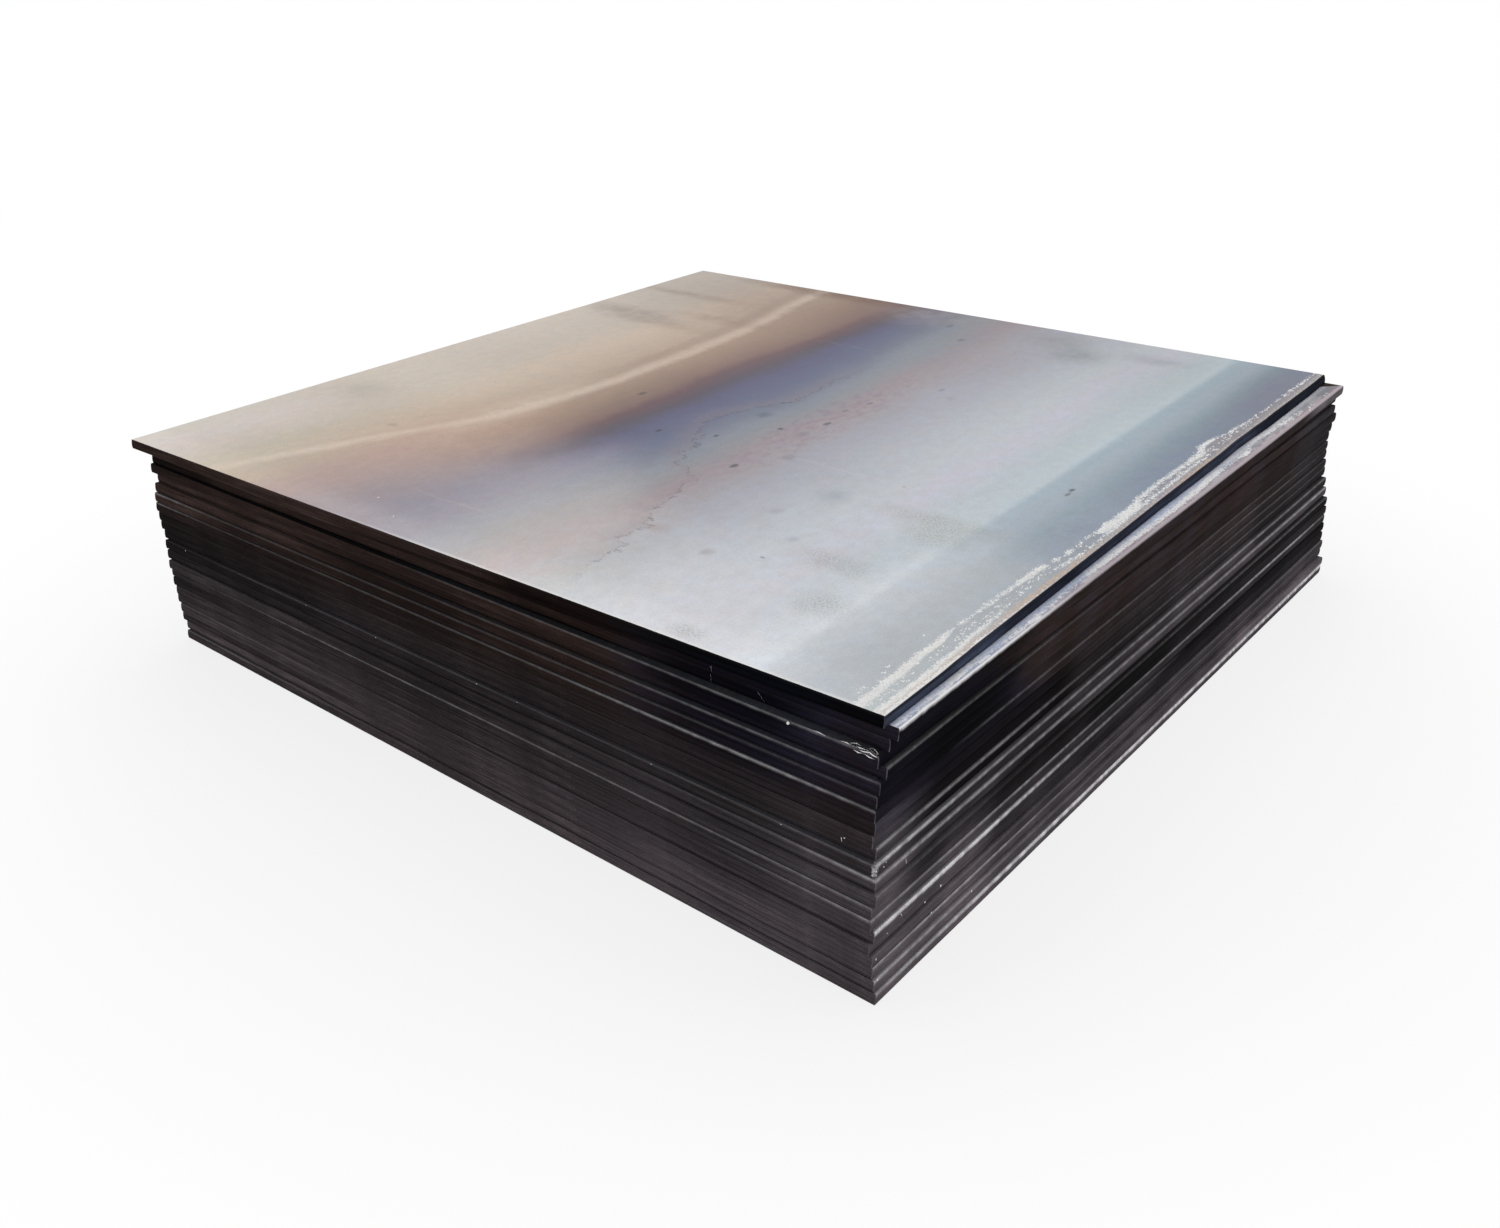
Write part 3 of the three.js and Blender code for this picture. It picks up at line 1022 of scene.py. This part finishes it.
# Where the strands of torn metal lie on plate 4's front ledge: x, y and height of their points.
BURR_STRANDS = (
    ((574, -627, 14.2), (581, -628, 15), (588, -627, 14.6), (596, -628.5, 15.2), (603, -627, 14.2)),
    ((590, -625, 14.2), (597, -624, 15.8), (605, -626, 16.4), (613, -625, 16), (619, -627, 15)),
    ((598, -626, 14.3), (604, -628, 15.6), (611, -627, 15.4), (617, -628, 16.2), (623, -626, 14.4)),
    ((604, -629, 14), (609, -630.5, 15), (615, -629, 15.6), (620, -630, 14.6), (623, -628, 12.8)),
    ((609, -624, 14.2), (614, -623, 16.8), (619, -625, 17.2), (623, -627, 15.8), (621, -629, 14.2)),
    ((598, -630, 12.6), (604, -631, 12.2), (610, -630.5, 13.2), (616, -631, 12), (621, -630, 11.2)),
    ((540, -628, 14.1), (548, -629, 14.7), (557, -628, 14.5), (566, -629, 14.1)),
)
STRAND_WIDTH = 0.55
STRAND_TIP = 0.25  # how wide a strand's ends are beside its middle
BEAD_PLACE = np.array((522.5, -629.5, 12.6))
BEAD_RADIUS = 2.1
BEAD_CORNERS = 8
BEAD_HEIGHTS = (-0.92, -0.5, 0.0, 0.5, 0.92)


def put_bead(parts):
    """A lumpy bead of metal: a closed body of rings, one above the other."""
    rings = []
    angles = 2 * math.pi * np.arange(BEAD_CORNERS) / BEAD_CORNERS
    for height in BEAD_HEIGHTS:
        uneven = parts.random.uniform(0.85, 1.1, BEAD_CORNERS)
        reach = BEAD_RADIUS * math.sqrt(1 - height ** 2) * uneven
        level = np.full(BEAD_CORNERS, height * BEAD_RADIUS)
        ring = np.stack([reach * np.cos(angles), reach * np.sin(angles), level], axis=1)
        rings.append(parts.put(BEAD_PLACE + ring, rub=1.0))
    parts.loft(rings)


def put_strand(parts, points):
    """A twisted strand of metal along some points: a closed body that is thin at both ends."""
    random = parts.random
    rings = []
    last = len(points) - 1
    for index, point in enumerate(points):
        ahead = points[min(index + 1, last)] - points[max(index - 1, 0)]
        ahead /= np.linalg.norm(ahead)
        level = np.cross(ahead, (0, 0, 1))
        level /= np.linalg.norm(level)
        upward = np.cross(level, ahead)
        thin = STRAND_TIP if index in (0, last) else 1.0
        half = STRAND_WIDTH * thin * random.uniform(0.5, 1.1)
        twist = random.uniform(0, math.pi)
        ring = []
        for quarter in range(4):
            angle = twist + quarter * math.pi / 2
            reach = half if quarter % 2 == 0 else 0.4 * half
            ring.append(point + reach * (math.cos(angle) * level + math.sin(angle) * upward))
        rings.append(parts.put(ring, rub=1.0))
    parts.loft(rings)


def torn_burrs():
    """Strands of metal that the shear tore loose, curled on the front ledge of plate 4."""
    parts = MeshParts(9)
    put_bead(parts)
    for points in BURR_STRANDS:
        put_strand(parts, np.array(points, float))
    return parts.mesh("torn_burrs", SHARP_CHIPS)


# ---- Dark scale and torn steel

# The hues of the sides, each as light as the lightest tone.
WARM_SCALE = colour(116, 94, 88)
COOL_SCALE = colour(95, 91, 120)
TOP_COOL_SCALE = colour(92, 100, 124)  # of the top plate's right edge
PALE_SCALE = colour(116, 108, 114)
# Bare steel of rubbed arrises, also used for their painted highlights.
BARE_STEEL_AND_HIGHLIGHT = colour(212, 210, 213)
LEDGE_SCALE = colour(156, 163, 180)
LEDGE_GREY = colour(155, 156, 163)
LEDGE_RIM = colour(168, 156, 162)
LEDGE_ARRIS_HIGHLIGHT = colour(184, 174, 180)
LEDGE_FLAKE = colour(236, 234, 234)
TOP_PLATE_EDGE = 606.0  # where the top plate's edge crosses plate 2's ledge, at y = 0
TOP_PLATE_SLANT = 0.0095
RELIEF = 0.0002  # how deep the finest relief goes, in metres
SCALE_ROUGHNESS = 0.6
RUBBED_ROUGHNESS = 0.35
SCALE_GLOSS = 0.005
STEEL_GLOSS = 0.1


def finish_surface(graph, tint, roughness, metallic, height, gloss, bump):
    """The shader of one finish, with height (from 0 to 1) as its fine relief."""
    relief = {"Strength": bump, "Distance": RELIEF, "Height": height}
    inputs = {
        "Base Color": tint,
        "Roughness": roughness,
        "Metallic": metallic,
        "Normal": graph.signal("Bump", 0, relief),
        "Specular IOR Level": gloss,
    }
    shader = graph.signal("BsdfPrincipled", 0, inputs)
    graph.node("OutputMaterial", {"Surface": shader})


def side_tint(graph, place, cool_scale):
    """The colour of a plate's sides: brown to blue-black scale with painted shade, drawn out along the
    plate, with bare steel and painted highlights on the arrises.
    """
    cloud = place.noise(0.02, 0.02, 0.06, 3)
    streaks = place.noise(0.012, 0.012, 0.9, 3, 0.6)
    grain = place.noise(0.9, 0.9, 0.9)
    scuffs = place.noise(0.16, 0.16, 0.5, 3, 0.7)
    cool = graph.attribute("cool") + cloud.smooth(0.25, 0.75, -0.2, 0.2)
    tint = cool.smooth(0.1, 0.9).mix(WARM_SCALE, cool_scale)
    tint = graph.attribute("pale").mix(tint, PALE_SCALE)
    tint = tint.shaded(graph.attribute("tone"))
    shade = streaks.smooth(0.25, 0.75, 0.62, 1.4) * scuffs.smooth(0.58, 0.72, 0.97, 1.5)
    shade = shade * grain.spread(0.8, 1.2) * cloud.smooth(0.25, 0.75, 0.8, 1.2)
    # Bare steel where rubbed, and painted highlights along lit arrises.
    bare_and_highlit = graph.attribute("rub") * grain.smooth(0.3, 0.6, 0.7, 1.1)
    return bare_and_highlit.mix(tint.shaded(shade), BARE_STEEL_AND_HIGHLIGHT), bare_and_highlit, grain


def flaked_line(x, y, texture, line):
    """How white a line of lifted scale is: its middle, and then its broken edges and gaps."""
    middle = y.follow(line, 1)
    half_width = y.follow(line, 2)
    covered = y.follow(line, 3)
    inside = (abs(x - middle) / half_width).smooth(1.5, 0.5)
    level = texture + covered * 0.5 + inside * 0.35
    return level.smooth(1.05, 1.4) * inside.smooth(0.0, 0.5)


def ledge_tint(place):
    """The light ledge of plate 2, along the right edge of the top plate, with painted light near the
    top plate's foot and a painted highlight on its arris.
    """
    speckle = place.noise(0.4, 0.2, 0.4, 4, 0.7)
    patchy = place.noise(0.08, 0.018, 0.0, 3, 0.6)
    x, y, _ = place.split()
    outer = x.smooth(612, 618) * y.smooth(-480, -150)
    tint = outer.mix(y.smooth(0, 300).mix(LEDGE_SCALE, LEDGE_GREY), LEDGE_RIM)
    # Painted light: lighter near the top plate's foot, against the shade it casts there.
    from_top_plate = y * TOP_PLATE_SLANT + (x - TOP_PLATE_EDGE)
    tint = tint.shaded(from_top_plate.smooth(1, 8, 1.75, 1.0))
    whiter = patchy.smooth(0.5, 0.58) * y.smooth(-200, -280, 0.2, 0.6)
    tint = whiter.mix(tint, LEDGE_FLAKE)
    band = flaked_line(x, y, speckle, LEDGE_PATCHES) * 0.85
    tint = band.mix(tint, LEDGE_FLAKE).shaded(speckle.smooth(0.3, 0.7, 0.84, 1.2))
    tint = tint.shaded(y.smooth(430, 600, 1.0, 0.75))
    near_end = x.smooth(612, 616) * y.smooth(-240, -340)
    tint = tint.shaded(near_end.blend(1.0, 1.25))
    # A painted highlight along the rounded arris, white at the near end.
    arris = y.smooth(-200, -460).mix(LEDGE_ARRIS_HIGHLIGHT, LEDGE_FLAKE)
    return x.smooth(618.8, 620.4).mix(tint, arris)


def make_shaded_dark_scale():
    """Every plate but the top one, with painted shade in its sides."""
    material, graph = new_material("dark_mill_scale")
    place = graph.place()
    sides, bare_and_highlit, grain = side_tint(graph, place, COOL_SCALE)
    tint = graph.attribute("upper").mix(sides, ledge_tint(place))
    roughness = bare_and_highlit.blend(SCALE_ROUGHNESS, RUBBED_ROUGHNESS)
    finish_surface(graph, tint, roughness, bare_and_highlit, grain, SCALE_GLOSS, 0.3)
    return material


def make_flake_finish():
    """The lifted flakes: dry, chalky oxide."""
    material, graph = new_material("lifted_scale")
    place = graph.place()
    grain = place.noise(1.2, 1.2, 1.2, 3, 0.6)
    patchy = place.noise(0.08, 0.03, 0.0, 3, 0.6)
    tint = grain.smooth(0.3, 0.7).mix(colour(228, 228, 226), colour(248, 248, 247))
    tint = patchy.smooth(0.5, 0.75, 0.0, 0.4).mix(tint, colour(204, 206, 212))
    finish_surface(graph, tint, 0.75, 0.0, grain, STEEL_GLOSS, 0.5)
    return material


def make_torn_steel():
    """Chips and burrs: freshly torn, bright metal."""
    material, graph = new_material("torn_steel")
    grain = graph.place().noise(1.6, 1.6, 1.6, 3, 0.6)
    tint = grain.smooth(0.35, 0.65).mix(colour(205, 202, 203), colour(242, 240, 240))
    finish_surface(graph, tint, 0.4, 0.9, grain, STEEL_GLOSS, 0.5)
    return material


# ---- The tinted top

# The tint tables of the top follow colour readings of the photograph, taken with scratch
# scripts, compared with renders and then rounded.

# Across the top plate, from its left edge: where each heat tint lies, in mm, with the painted sheen of
# the sky's reflection mixed in.
HEAT_TINTS_AND_SHEEN = (
    (-630, (205, 195, 185)), (-500, (195, 185, 175)),  # grey beige
    (-400, (200, 185, 170)), (-340, (190, 175, 160)),  # beige
    (-240, (165, 145, 130)), (-185, (145, 125, 115)), (-160, (135, 115, 110)),  # golden brown, umber
    (-140, (115, 95, 100)), (-105, (100, 95, 105)),  # plum
    (-70, (105, 105, 130)), (-10, (115, 120, 140)), (20, (125, 130, 145)),  # steel blue
    (50, (140, 145, 155)), (80, (150, 150, 155)),  # blue grey
    (110, (160, 150, 155)), (150, (165, 160, 165)), (200, (170, 170, 180)),  # rose grey, pale grey
    # silver
    (330, (190, 195, 200)), (380, (195, 195, 205)), (440, (185, 195, 200)), (480, (190, 200, 205)),
    (490, (165, 180, 190)), (520, (165, 175, 185)),  # teal
    (550, (145, 160, 170)), (575, (140, 150, 165)), (630, (140, 150, 165)),  # slate
)
# The same towards the plate's front end, where the tints are washed out and lightened by a painted
# sheen.
WASHED_TINTS_AND_SHEEN = (
    (-630, (210, 205, 195)), (-560, (210, 200, 195)),  # cream
    (-440, (195, 185, 170)), (-360, (190, 175, 160)),  # sand
    (-300, (180, 160, 155)), (-240, (170, 155, 155)),  # rose beige
    (-180, (160, 150, 155)), (-120, (155, 150, 160)), (-60, (165, 160, 170)),  # mauve grey
    (0, (175, 175, 180)), (50, (185, 180, 180)),  # pearl
    (110, (195, 185, 185)), (200, (200, 200, 200)),  # warm pearl
    # pale silver
    (300, (210, 210, 215)), (420, (210, 210, 215)), (480, (215, 220, 225)), (490, (200, 205, 210)),
    (545, (185, 190, 195)), (630, (180, 185, 190)),
)
# Where the washing out and painted sheen have come halfway: y for each x.
WASH_AND_SHEEN_FRONT = (
    (-630, -400), (-200, -330), (0, -335), (110, -430), (250, -480), (380, -460), (460, -380),
    (500, -300), (630, -270),
)
WASH_AND_SHEEN_REACH = 150
TINT_BULGE = 38.0  # how far the blue bands lie to the left at the back
TEAL_BORDER = (468, 472)  # the straight border of the teal strip along the right edge
AT_BACK = (120, 560)  # along the plate: from here the tints change, to here
# The pale streak and the ragged tide line: x for each y.
STREAK = (
    (-629, -428), (-540, -397), (-470, -368), (-390, -337), (-310, -302), (-230, -276), (-140, -263),
    (-30, -257), (75, -259), (195, -263), (290, -270), (380, -281), (490, -303), (629, -322),
)
STREAK_TINT = colour(232, 218, 204)
STREAK_HALF_WIDTH = 24.0
FURROW_OFFSET = 34.0  # how far left of the streak its dark furrow runs
TIDE = (
    (-629, 205), (-552, 190), (-503, 186), (-476, 168), (-414, 160), (-390, 135), (-345, 128),
    (-310, 121), (-283, 110), (-259, 83), (-221, 41), (-179, 28), (-153, 10), (-113, -10), (-73, -19),
    (-33, -3), (7, 10), (60, 30), (180, 25), (400, 40),
)
TIDE_TINT = colour(104, 104, 114)
TIDE_TINT_ON_BLUE = colour(74, 76, 92)
TIDE_RAGGEDNESS = 56.0
STAIN = colour(150, 132, 136)  # left of the tide line
# Soft patches on the top: x, y, half width, half length, colour and strength.
PATCHES = (
    (-260, -350, 110, 150, (205, 170, 145), 0.38),  # orange blush
    (-270, 614, 165, 24, (110, 90, 80), 0.7),  # brown, at the back edge
    # bars across the back left
    (-520, 458, 140, 15, (145, 130, 120), 0.42), (-480, 288, 85, 34, (140, 130, 125), 0.42),
    (-560, 305, 70, 22, (150, 140, 135), 0.36), (-345, 345, 80, 18, (140, 115, 105), 0.34),
    (-400, 265, 85, 16, (150, 130, 120), 0.26),
    # warmer, at the back left
    (-310, 520, 160, 130, (170, 140, 130), 0.24), (-290, 250, 130, 220, (185, 155, 140), 0.2),
    (605, 480, 42, 170, (130, 125, 140), 0.5),  # mauve, at the back right
    # darker slate, then lighter
    (600, 210, 50, 120, (125, 135, 150), 0.4), (585, -110, 50, 90, (170, 180, 190), 0.3),
    (-285, -210, 28, 120, (215, 200, 185), 0.4),  # lighter, on the streak
    # lighter too: at the front edge, on the left and at the front right
    (-150, -615, 110, 26, (195, 185, 185), 0.35), (-520, -190, 110, 90, (215, 205, 190), 0.35),
    (330, -440, 140, 170, (220, 225, 230), 0.18),
    # bluer, then rosier and browner
    (62, 400, 40, 120, (140, 150, 160), 0.4), (185, 430, 44, 110, (170, 160, 165), 0.3),
    (-150, -190, 60, 130, (130, 120, 115), 0.06),
    # lighter, at the back and on the right
    (-60, 590, 80, 60, (175, 165, 160), 0.35), (450, -240, 60, 50, (215, 220, 220), 0.25),
    # grey smudges, at the back and further forward
    (207, 565, 42, 36, (140, 140, 140), 0.5), (265, 503, 38, 34, (135, 140, 145), 0.55),
    (380, 548, 45, 22, (150, 150, 155), 0.4), (291, -226, 18, 20, (160, 165, 175), 0.6),
    (-545, -290, 40, 30, (175, 170, 160), 0.4),
    (420, -250, 110, 240, (215, 215, 225), 0.16),  # a little paler
    # a little darker, then soft dots
    (-365, 500, 85, 170, (140, 125, 115), 0.1), (181, -428, 12, 9, (170, 150, 145), 0.4),
    (33, -28, 9, 11, (100, 105, 120), 0.6), (128, -68, 8, 12, (140, 130, 140), 0.6),
    (165, -148, 7, 8, (130, 120, 130), 0.5), (262, -303, 6, 8, (150, 150, 160), 0.5),
    (328, -359, 6, 7, (160, 160, 170), 0.5), (269, -448, 7, 7, (150, 145, 150), 0.5),
    (214, 193, 7, 8, (140, 140, 150), 0.5),
    # faint drawn lines
    (372, -107, 1.6, 42, (210, 190, 200), 0.5), (320, -146, 165, 1.6, (210, 210, 215), 0.2),
    (-75, -517, 78, 1.6, (210, 200, 195), 0.2), (-75, 337, 78, 1.6, (150, 145, 155), 0.25),
)
# The rose blotches beside the blue bands: x, y, half width, half length.
ROSE_ZONE = (118, 0, 44, 240)
ROSE = colour(146, 124, 142)
# Dark specks on the top: x, y, half width, half length and strength.
SPECKS = (
    (125.5, -215, 4.5, 7, 0.72), (88, -63, 4, 5, 0.7), (129, -7, 4, 7, 0.6), (33, -138, 3.5, 5, 0.7),
    (519, -36, 3.2, 6, 0.7), (521, -52, 2.6, 7, 0.55), (330, -422, 3.5, 2.5, 0.42),
    (345, -148, 3, 3, 0.25), (67, 477, 5, 9, 0.4), (7, 544, 4, 8, 0.4), (181, 220, 4, 7, 0.25),
    (-178, -55, 5, 8, 0.6), (-46, -168, 4, 5, 0.85), (-373, -372, 9, 6, 0.2), (128, 103, 4, 7, 0.3),
    (118, 55, 4, 6, 0.35),
)
SPECK_COLOUR = colour(86, 84, 90)
# Olive rows of fine dirt: x, y, half width, half length.
DIRT = (
    (438, -222, 70, 22), (458, -262, 36, 24), (402, -386, 44, 20), (452, -479, 28, 26),
    (376, -610, 20, 12),
)
DIRT_COLOUR = colour(134, 126, 106)
FRONT_RIM = colour(232, 230, 228)
WARMER = (1.015, 1.0, 0.985, 1.0)
COOLER = (0.985, 1.0, 1.015, 1.0)
# Along the rim, from the near end: the tints between the white lines, and outside them.
BETWEEN_LINES = (
    (-630, (195, 200, 200)), (-480, (180, 185, 190)), (-300, (170, 175, 180)), (-130, (150, 155, 165)),
    (60, (150, 150, 160)), (260, (150, 145, 150)), (630, (150, 145, 150)),
)
OUTSIDE_LINES = (
    (-630, (210, 200, 195)), (-450, (190, 180, 175)), (-200, (165, 160, 160)), (60, (170, 155, 150)),
    (300, (160, 150, 145)), (630, (155, 150, 150)),
)
FLAKED_WHITE = colour(236, 235, 232)
RIM_RUST = colour(214, 172, 122)


def oval(place, zone, soft):
    """1 inside a zone (x, y, half width, half length) of a flat face, 0 outside."""
    x, y, half_width, half_length = zone
    from_middle = place.vector("SUBTRACT", (x, y, 0.0))
    flat = from_middle.vector("MULTIPLY", (1 / half_width, 1 / half_length, 0.0))
    return flat.length().smooth(1 + soft, 1 - soft)


def heat_tint_and_sheen(x, y, drift, ragged):
    """Bands of heat tint along the rolling direction with a painted sheen, washed out and lighter
    towards the front end.
    """
    at_back = y.smooth(*AT_BACK)
    bulge = x.within(-140, -30, 80, 320) * at_back * TINT_BULGE
    bent = x + bulge + drift.spread(-12, 12) + ragged.spread(-5, 5)
    bent = x.smooth(*TEAL_BORDER).blend(bent, x)
    ahead = y - x.follow(WASH_AND_SHEEN_FRONT) + drift.spread(-60, 60)
    washed_and_sheen = ahead.smooth(WASH_AND_SHEEN_REACH, -WASH_AND_SHEEN_REACH)
    tint = washed_and_sheen.mix(bent.ramp(HEAT_TINTS_AND_SHEEN), bent.ramp(WASHED_TINTS_AND_SHEEN))
    # Painted shade: darker towards the back, most on the left, and at the back right.
    tint = tint.shaded(at_back.blend(1.0, x.smooth(-130, -220, 0.9, 0.8)))
    # Painted sheen: lighter along the front edge.
    tint = tint.shaded(y.smooth(-540, -629, 1.0, 1.12))
    right_back = at_back * x.smooth(520, 560)
    return tint.shaded(right_back.blend(1.0, 0.92))


def streaked(tint, x, y, ragged):
    """The pale streak, and the furrow on its left."""
    off_streak = x - y.follow(STREAK) + ragged.spread(-4, 4)
    crest = abs(off_streak).smooth(STREAK_HALF_WIDTH, 0.0, 0.0, 0.4)
    tint = crest.mix(tint, STREAK_TINT)
    in_furrow = abs(off_streak + FURROW_OFFSET).smooth(22, 2)
    return tint.shaded(in_furrow.blend(1.0, y.smooth(-120, 100, 1.04, 0.9)))


def tide_marked(tint, place, x, y):
    """The ragged tide line with the stain on its left, and the rose blotches."""
    push = (place.noise(0.034, 0.034, 0.0, 4, 0.62) - 0.5) * TIDE_RAGGEDNESS
    off_tide = x + push - (y + push).follow(TIDE)
    crumbs = place.noise(0.14, 0.14, 0.0, 3, 0.7)
    blotches = place.noise(0.1, 0.045, 0.0, 4, 0.6)
    reach = y.within(-629, -480, 60, 330)
    line = abs(off_tide).smooth(5, 1) * reach * crumbs.smooth(0.42, 0.6, 0.0, 0.58)
    tint = line.mix(tint, x.smooth(120, 40).mix(TIDE_TINT, TIDE_TINT_ON_BLUE))
    stained = off_tide.within(-46, -4, -2, 6) * reach * 0.22
    tint = stained.mix(tint, STAIN)
    rosy = oval(place, ROSE_ZONE, 0.5) * blotches.smooth(0.48, 0.62, 0.0, 0.36)
    return rosy.mix(tint, ROSE)


def patched(tint, place, ragged):
    """The soft patches, dark specks and rows of fine dirt."""
    pulled = place.pushed(0.04, 16)
    tugged = place.pushed(0.2, 5)
    uneven = ragged.smooth(0.3, 0.65, 0.6, 1.15)
    dusty = place.noise(0.34, 0.46, 0.0, 3, 0.7).smooth(0.46, 0.62, 0.075, 0.5)
    for *zone, patch_tint, strength in PATCHES:
        tint = (oval(pulled, zone, 0.9) * strength * uneven).mix(tint, colour(*patch_tint))
    for *zone, strength in SPECKS:
        tint = (oval(tugged, zone, 0.45) * strength).mix(tint, SPECK_COLOUR)
    for zone in DIRT:
        tint = (oval(pulled, zone, 0.8) * dusty).mix(tint, DIRT_COLOUR)
    return tint


def rimmed(tint, place, x, y):
    """The strip along the right edge, where the scale has flaked off."""
    texture = place.noise(0.42, 0.2, 0.0, 4, 0.7)
    grit = place.noise(0.7, 0.28, 0.0, 3, 0.7)
    x = x + place.noise(0.0, 0.03, 0.0, 2).spread(-1.5, 1.5)
    x = x + texture.smooth(0.3, 0.7, -2.0, 2.0) + grit.smooth(0.3, 0.7, -1.5, 1.5)
    past_inner = x - y.follow(INNER_LINE)
    tint = past_inner.smooth(-3, 4, 0.0, 0.9).mix(tint, y.ramp(BETWEEN_LINES))
    outside = texture.smooth(0.4, 0.65, 0.0, 0.35).mix(y.ramp(OUTSIDE_LINES), FLAKED_WHITE)
    tint = x.smooth(612, 617).mix(tint, outside)
    inner = flaked_line(x, y, texture, INNER_LINE)
    outer = flaked_line(x, y, texture, OUTER_LINE)
    flecks = texture.smooth(0.58, 0.68, 0.0, 0.5) * past_inner.smooth(0, 4)
    white = inner.most(outer).most(flecks) * grit.smooth(0.35, 0.6, 0.6, 0.97)
    tint = white.mix(tint, FLAKED_WHITE)
    rust_reach = y.within(-420, -340, -220, -140).most(y.within(40, 90, 150, 200))
    rusty = x.within(614.5, 616.5, 618.5, 620.5) * rust_reach * texture.smooth(0.4, 0.6, 0.0, 0.6)
    tint = rusty.mix(tint, RIM_RUST)
    bright_arris = x.smooth(620, 621.5) * y.smooth(-250, -480, 0.0, 0.95)
    return bright_arris.mix(tint, FLAKED_WHITE)


def tinted_sheened_face(place, grain):
    """The upper face: its heat tints with their painted sheen, then what marks them, and how they
    mottle.
    """
    x, y, _ = place.split()
    drift = place.noise(0.006, 0.004, 0.0, 3)
    ragged = place.noise(0.03, 0.03, 0.0, 4, 0.65)
    tint = heat_tint_and_sheen(x, y, drift, ragged)
    tint = streaked(tint, x, y, ragged)
    tint = tide_marked(tint, place, x, y)
    tint = patched(tint, place, ragged)
    front_rim = y.smooth(-621, -627) * x.smooth(-250, 100, 0.0, 0.6)
    tint = front_rim.mix(tint, FRONT_RIM)
    tint = rimmed(tint, place, x, y)
    mottle = place.noise(0.07, 0.05, 0.0, 3, 0.6)
    hue = place.noise(0.03, 0.03, 0.0, 3)
    rolled = place.noise(0.12, 0.004, 0.0, 3, 0.6)
    fine = place.noise(0.3, 0.3, 0.0, 4, 0.7)
    tint = tint.vector("MULTIPLY", hue.smooth(0.3, 0.7).mix(WARMER, COOLER))
    shade = mottle.spread(0.95, 1.05) * rolled.smooth(0.25, 0.75, 0.99, 1.01)
    shade = shade * fine.spread(0.94, 1.06) * grain.spread(0.94, 1.06)
    return tint.shaded(shade), mottle


def make_sheened_tinted_scale():
    """The top plate: dark sides with painted shade, and bands of heat tint with a painted sheen over
    its upper face.
    """
    material, graph = new_material("tinted_mill_scale")
    place = graph.place()
    sides, bare_and_highlit, grain = side_tint(graph, place, TOP_COOL_SCALE)
    face, mottle = tinted_sheened_face(place, grain)
    upper = graph.attribute("upper")
    roughness = upper.blend(SCALE_ROUGHNESS, mottle.spread(0.42, 0.5))
    metallic = upper.blend(bare_and_highlit, 0.3)
    finish_surface(graph, upper.mix(sides, face), roughness, metallic, grain, SCALE_GLOSS, 0.15)
    return material


# ---- The pile

def lie_of(node):
    """The matrix that takes a plate from its own frame, in metres, to where it lies."""
    low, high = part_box(node)
    diagonal = math.hypot(WIDTH, LENGTH) * MM
    reach = min(1.0, (high.x - low.x) / diagonal)
    turn = math.atan2(LENGTH, WIDTH) - math.acos(reach)
    points = [vertex.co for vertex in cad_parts[node].data.vertices]
    far_right = max(points, key=lambda point: point.x + point.y)
    far_left = max(points, key=lambda point: point.y - point.x)
    turn = math.copysign(turn, far_right.y - far_left.y)
    middle = (low + high) / 2
    return Matrix.Translation((middle.x, middle.y, low.z)) @ Matrix.Rotation(turn, 4, "Z")


def add_piece(name, mesh, node, material):
    """Shows a mesh that is in the frame of one plate, and lets it ride."""
    piece = bpy.data.objects.new(name, mesh)
    piece.matrix_world = lie_of(node)
    mesh.materials.append(material)
    show(piece)
    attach(piece, "root")
    return piece


make_camera()
make_world()
make_floor()
make_softbox()
shaded_dark_scale = make_shaded_dark_scale()
sheened_tinted_scale = make_sheened_tinted_scale()
lifted_scale = make_flake_finish()
torn_steel = make_torn_steel()
for number in range(1, PLATE_COUNT + 1):
    node_name = f"plate_{number:02d}"
    skin = sheened_tinted_scale if number == TOP_PLATE else shaded_dark_scale
    dressed = add_piece(f"dressed_{node_name}", plate_mesh(number), node_name, skin)
    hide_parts(node_name)

add_piece("rim_flakes", rim_flakes(), "plate_01", lifted_scale)
add_piece("ledge_flakes", ledge_flakes(), "plate_02", lifted_scale)
add_piece("torn_burrs", torn_burrs(), "plate_04", torn_steel)
for number in sorted({*FRONT_CHIPS, *RIGHT_CHIPS}):
    add_piece(f"chips_{number:02d}", side_chips(number), f"plate_{number:02d}", torn_steel)

bpy.context.scene.view_settings.view_transform = "Standard"

bpy.context.view_layer.update()
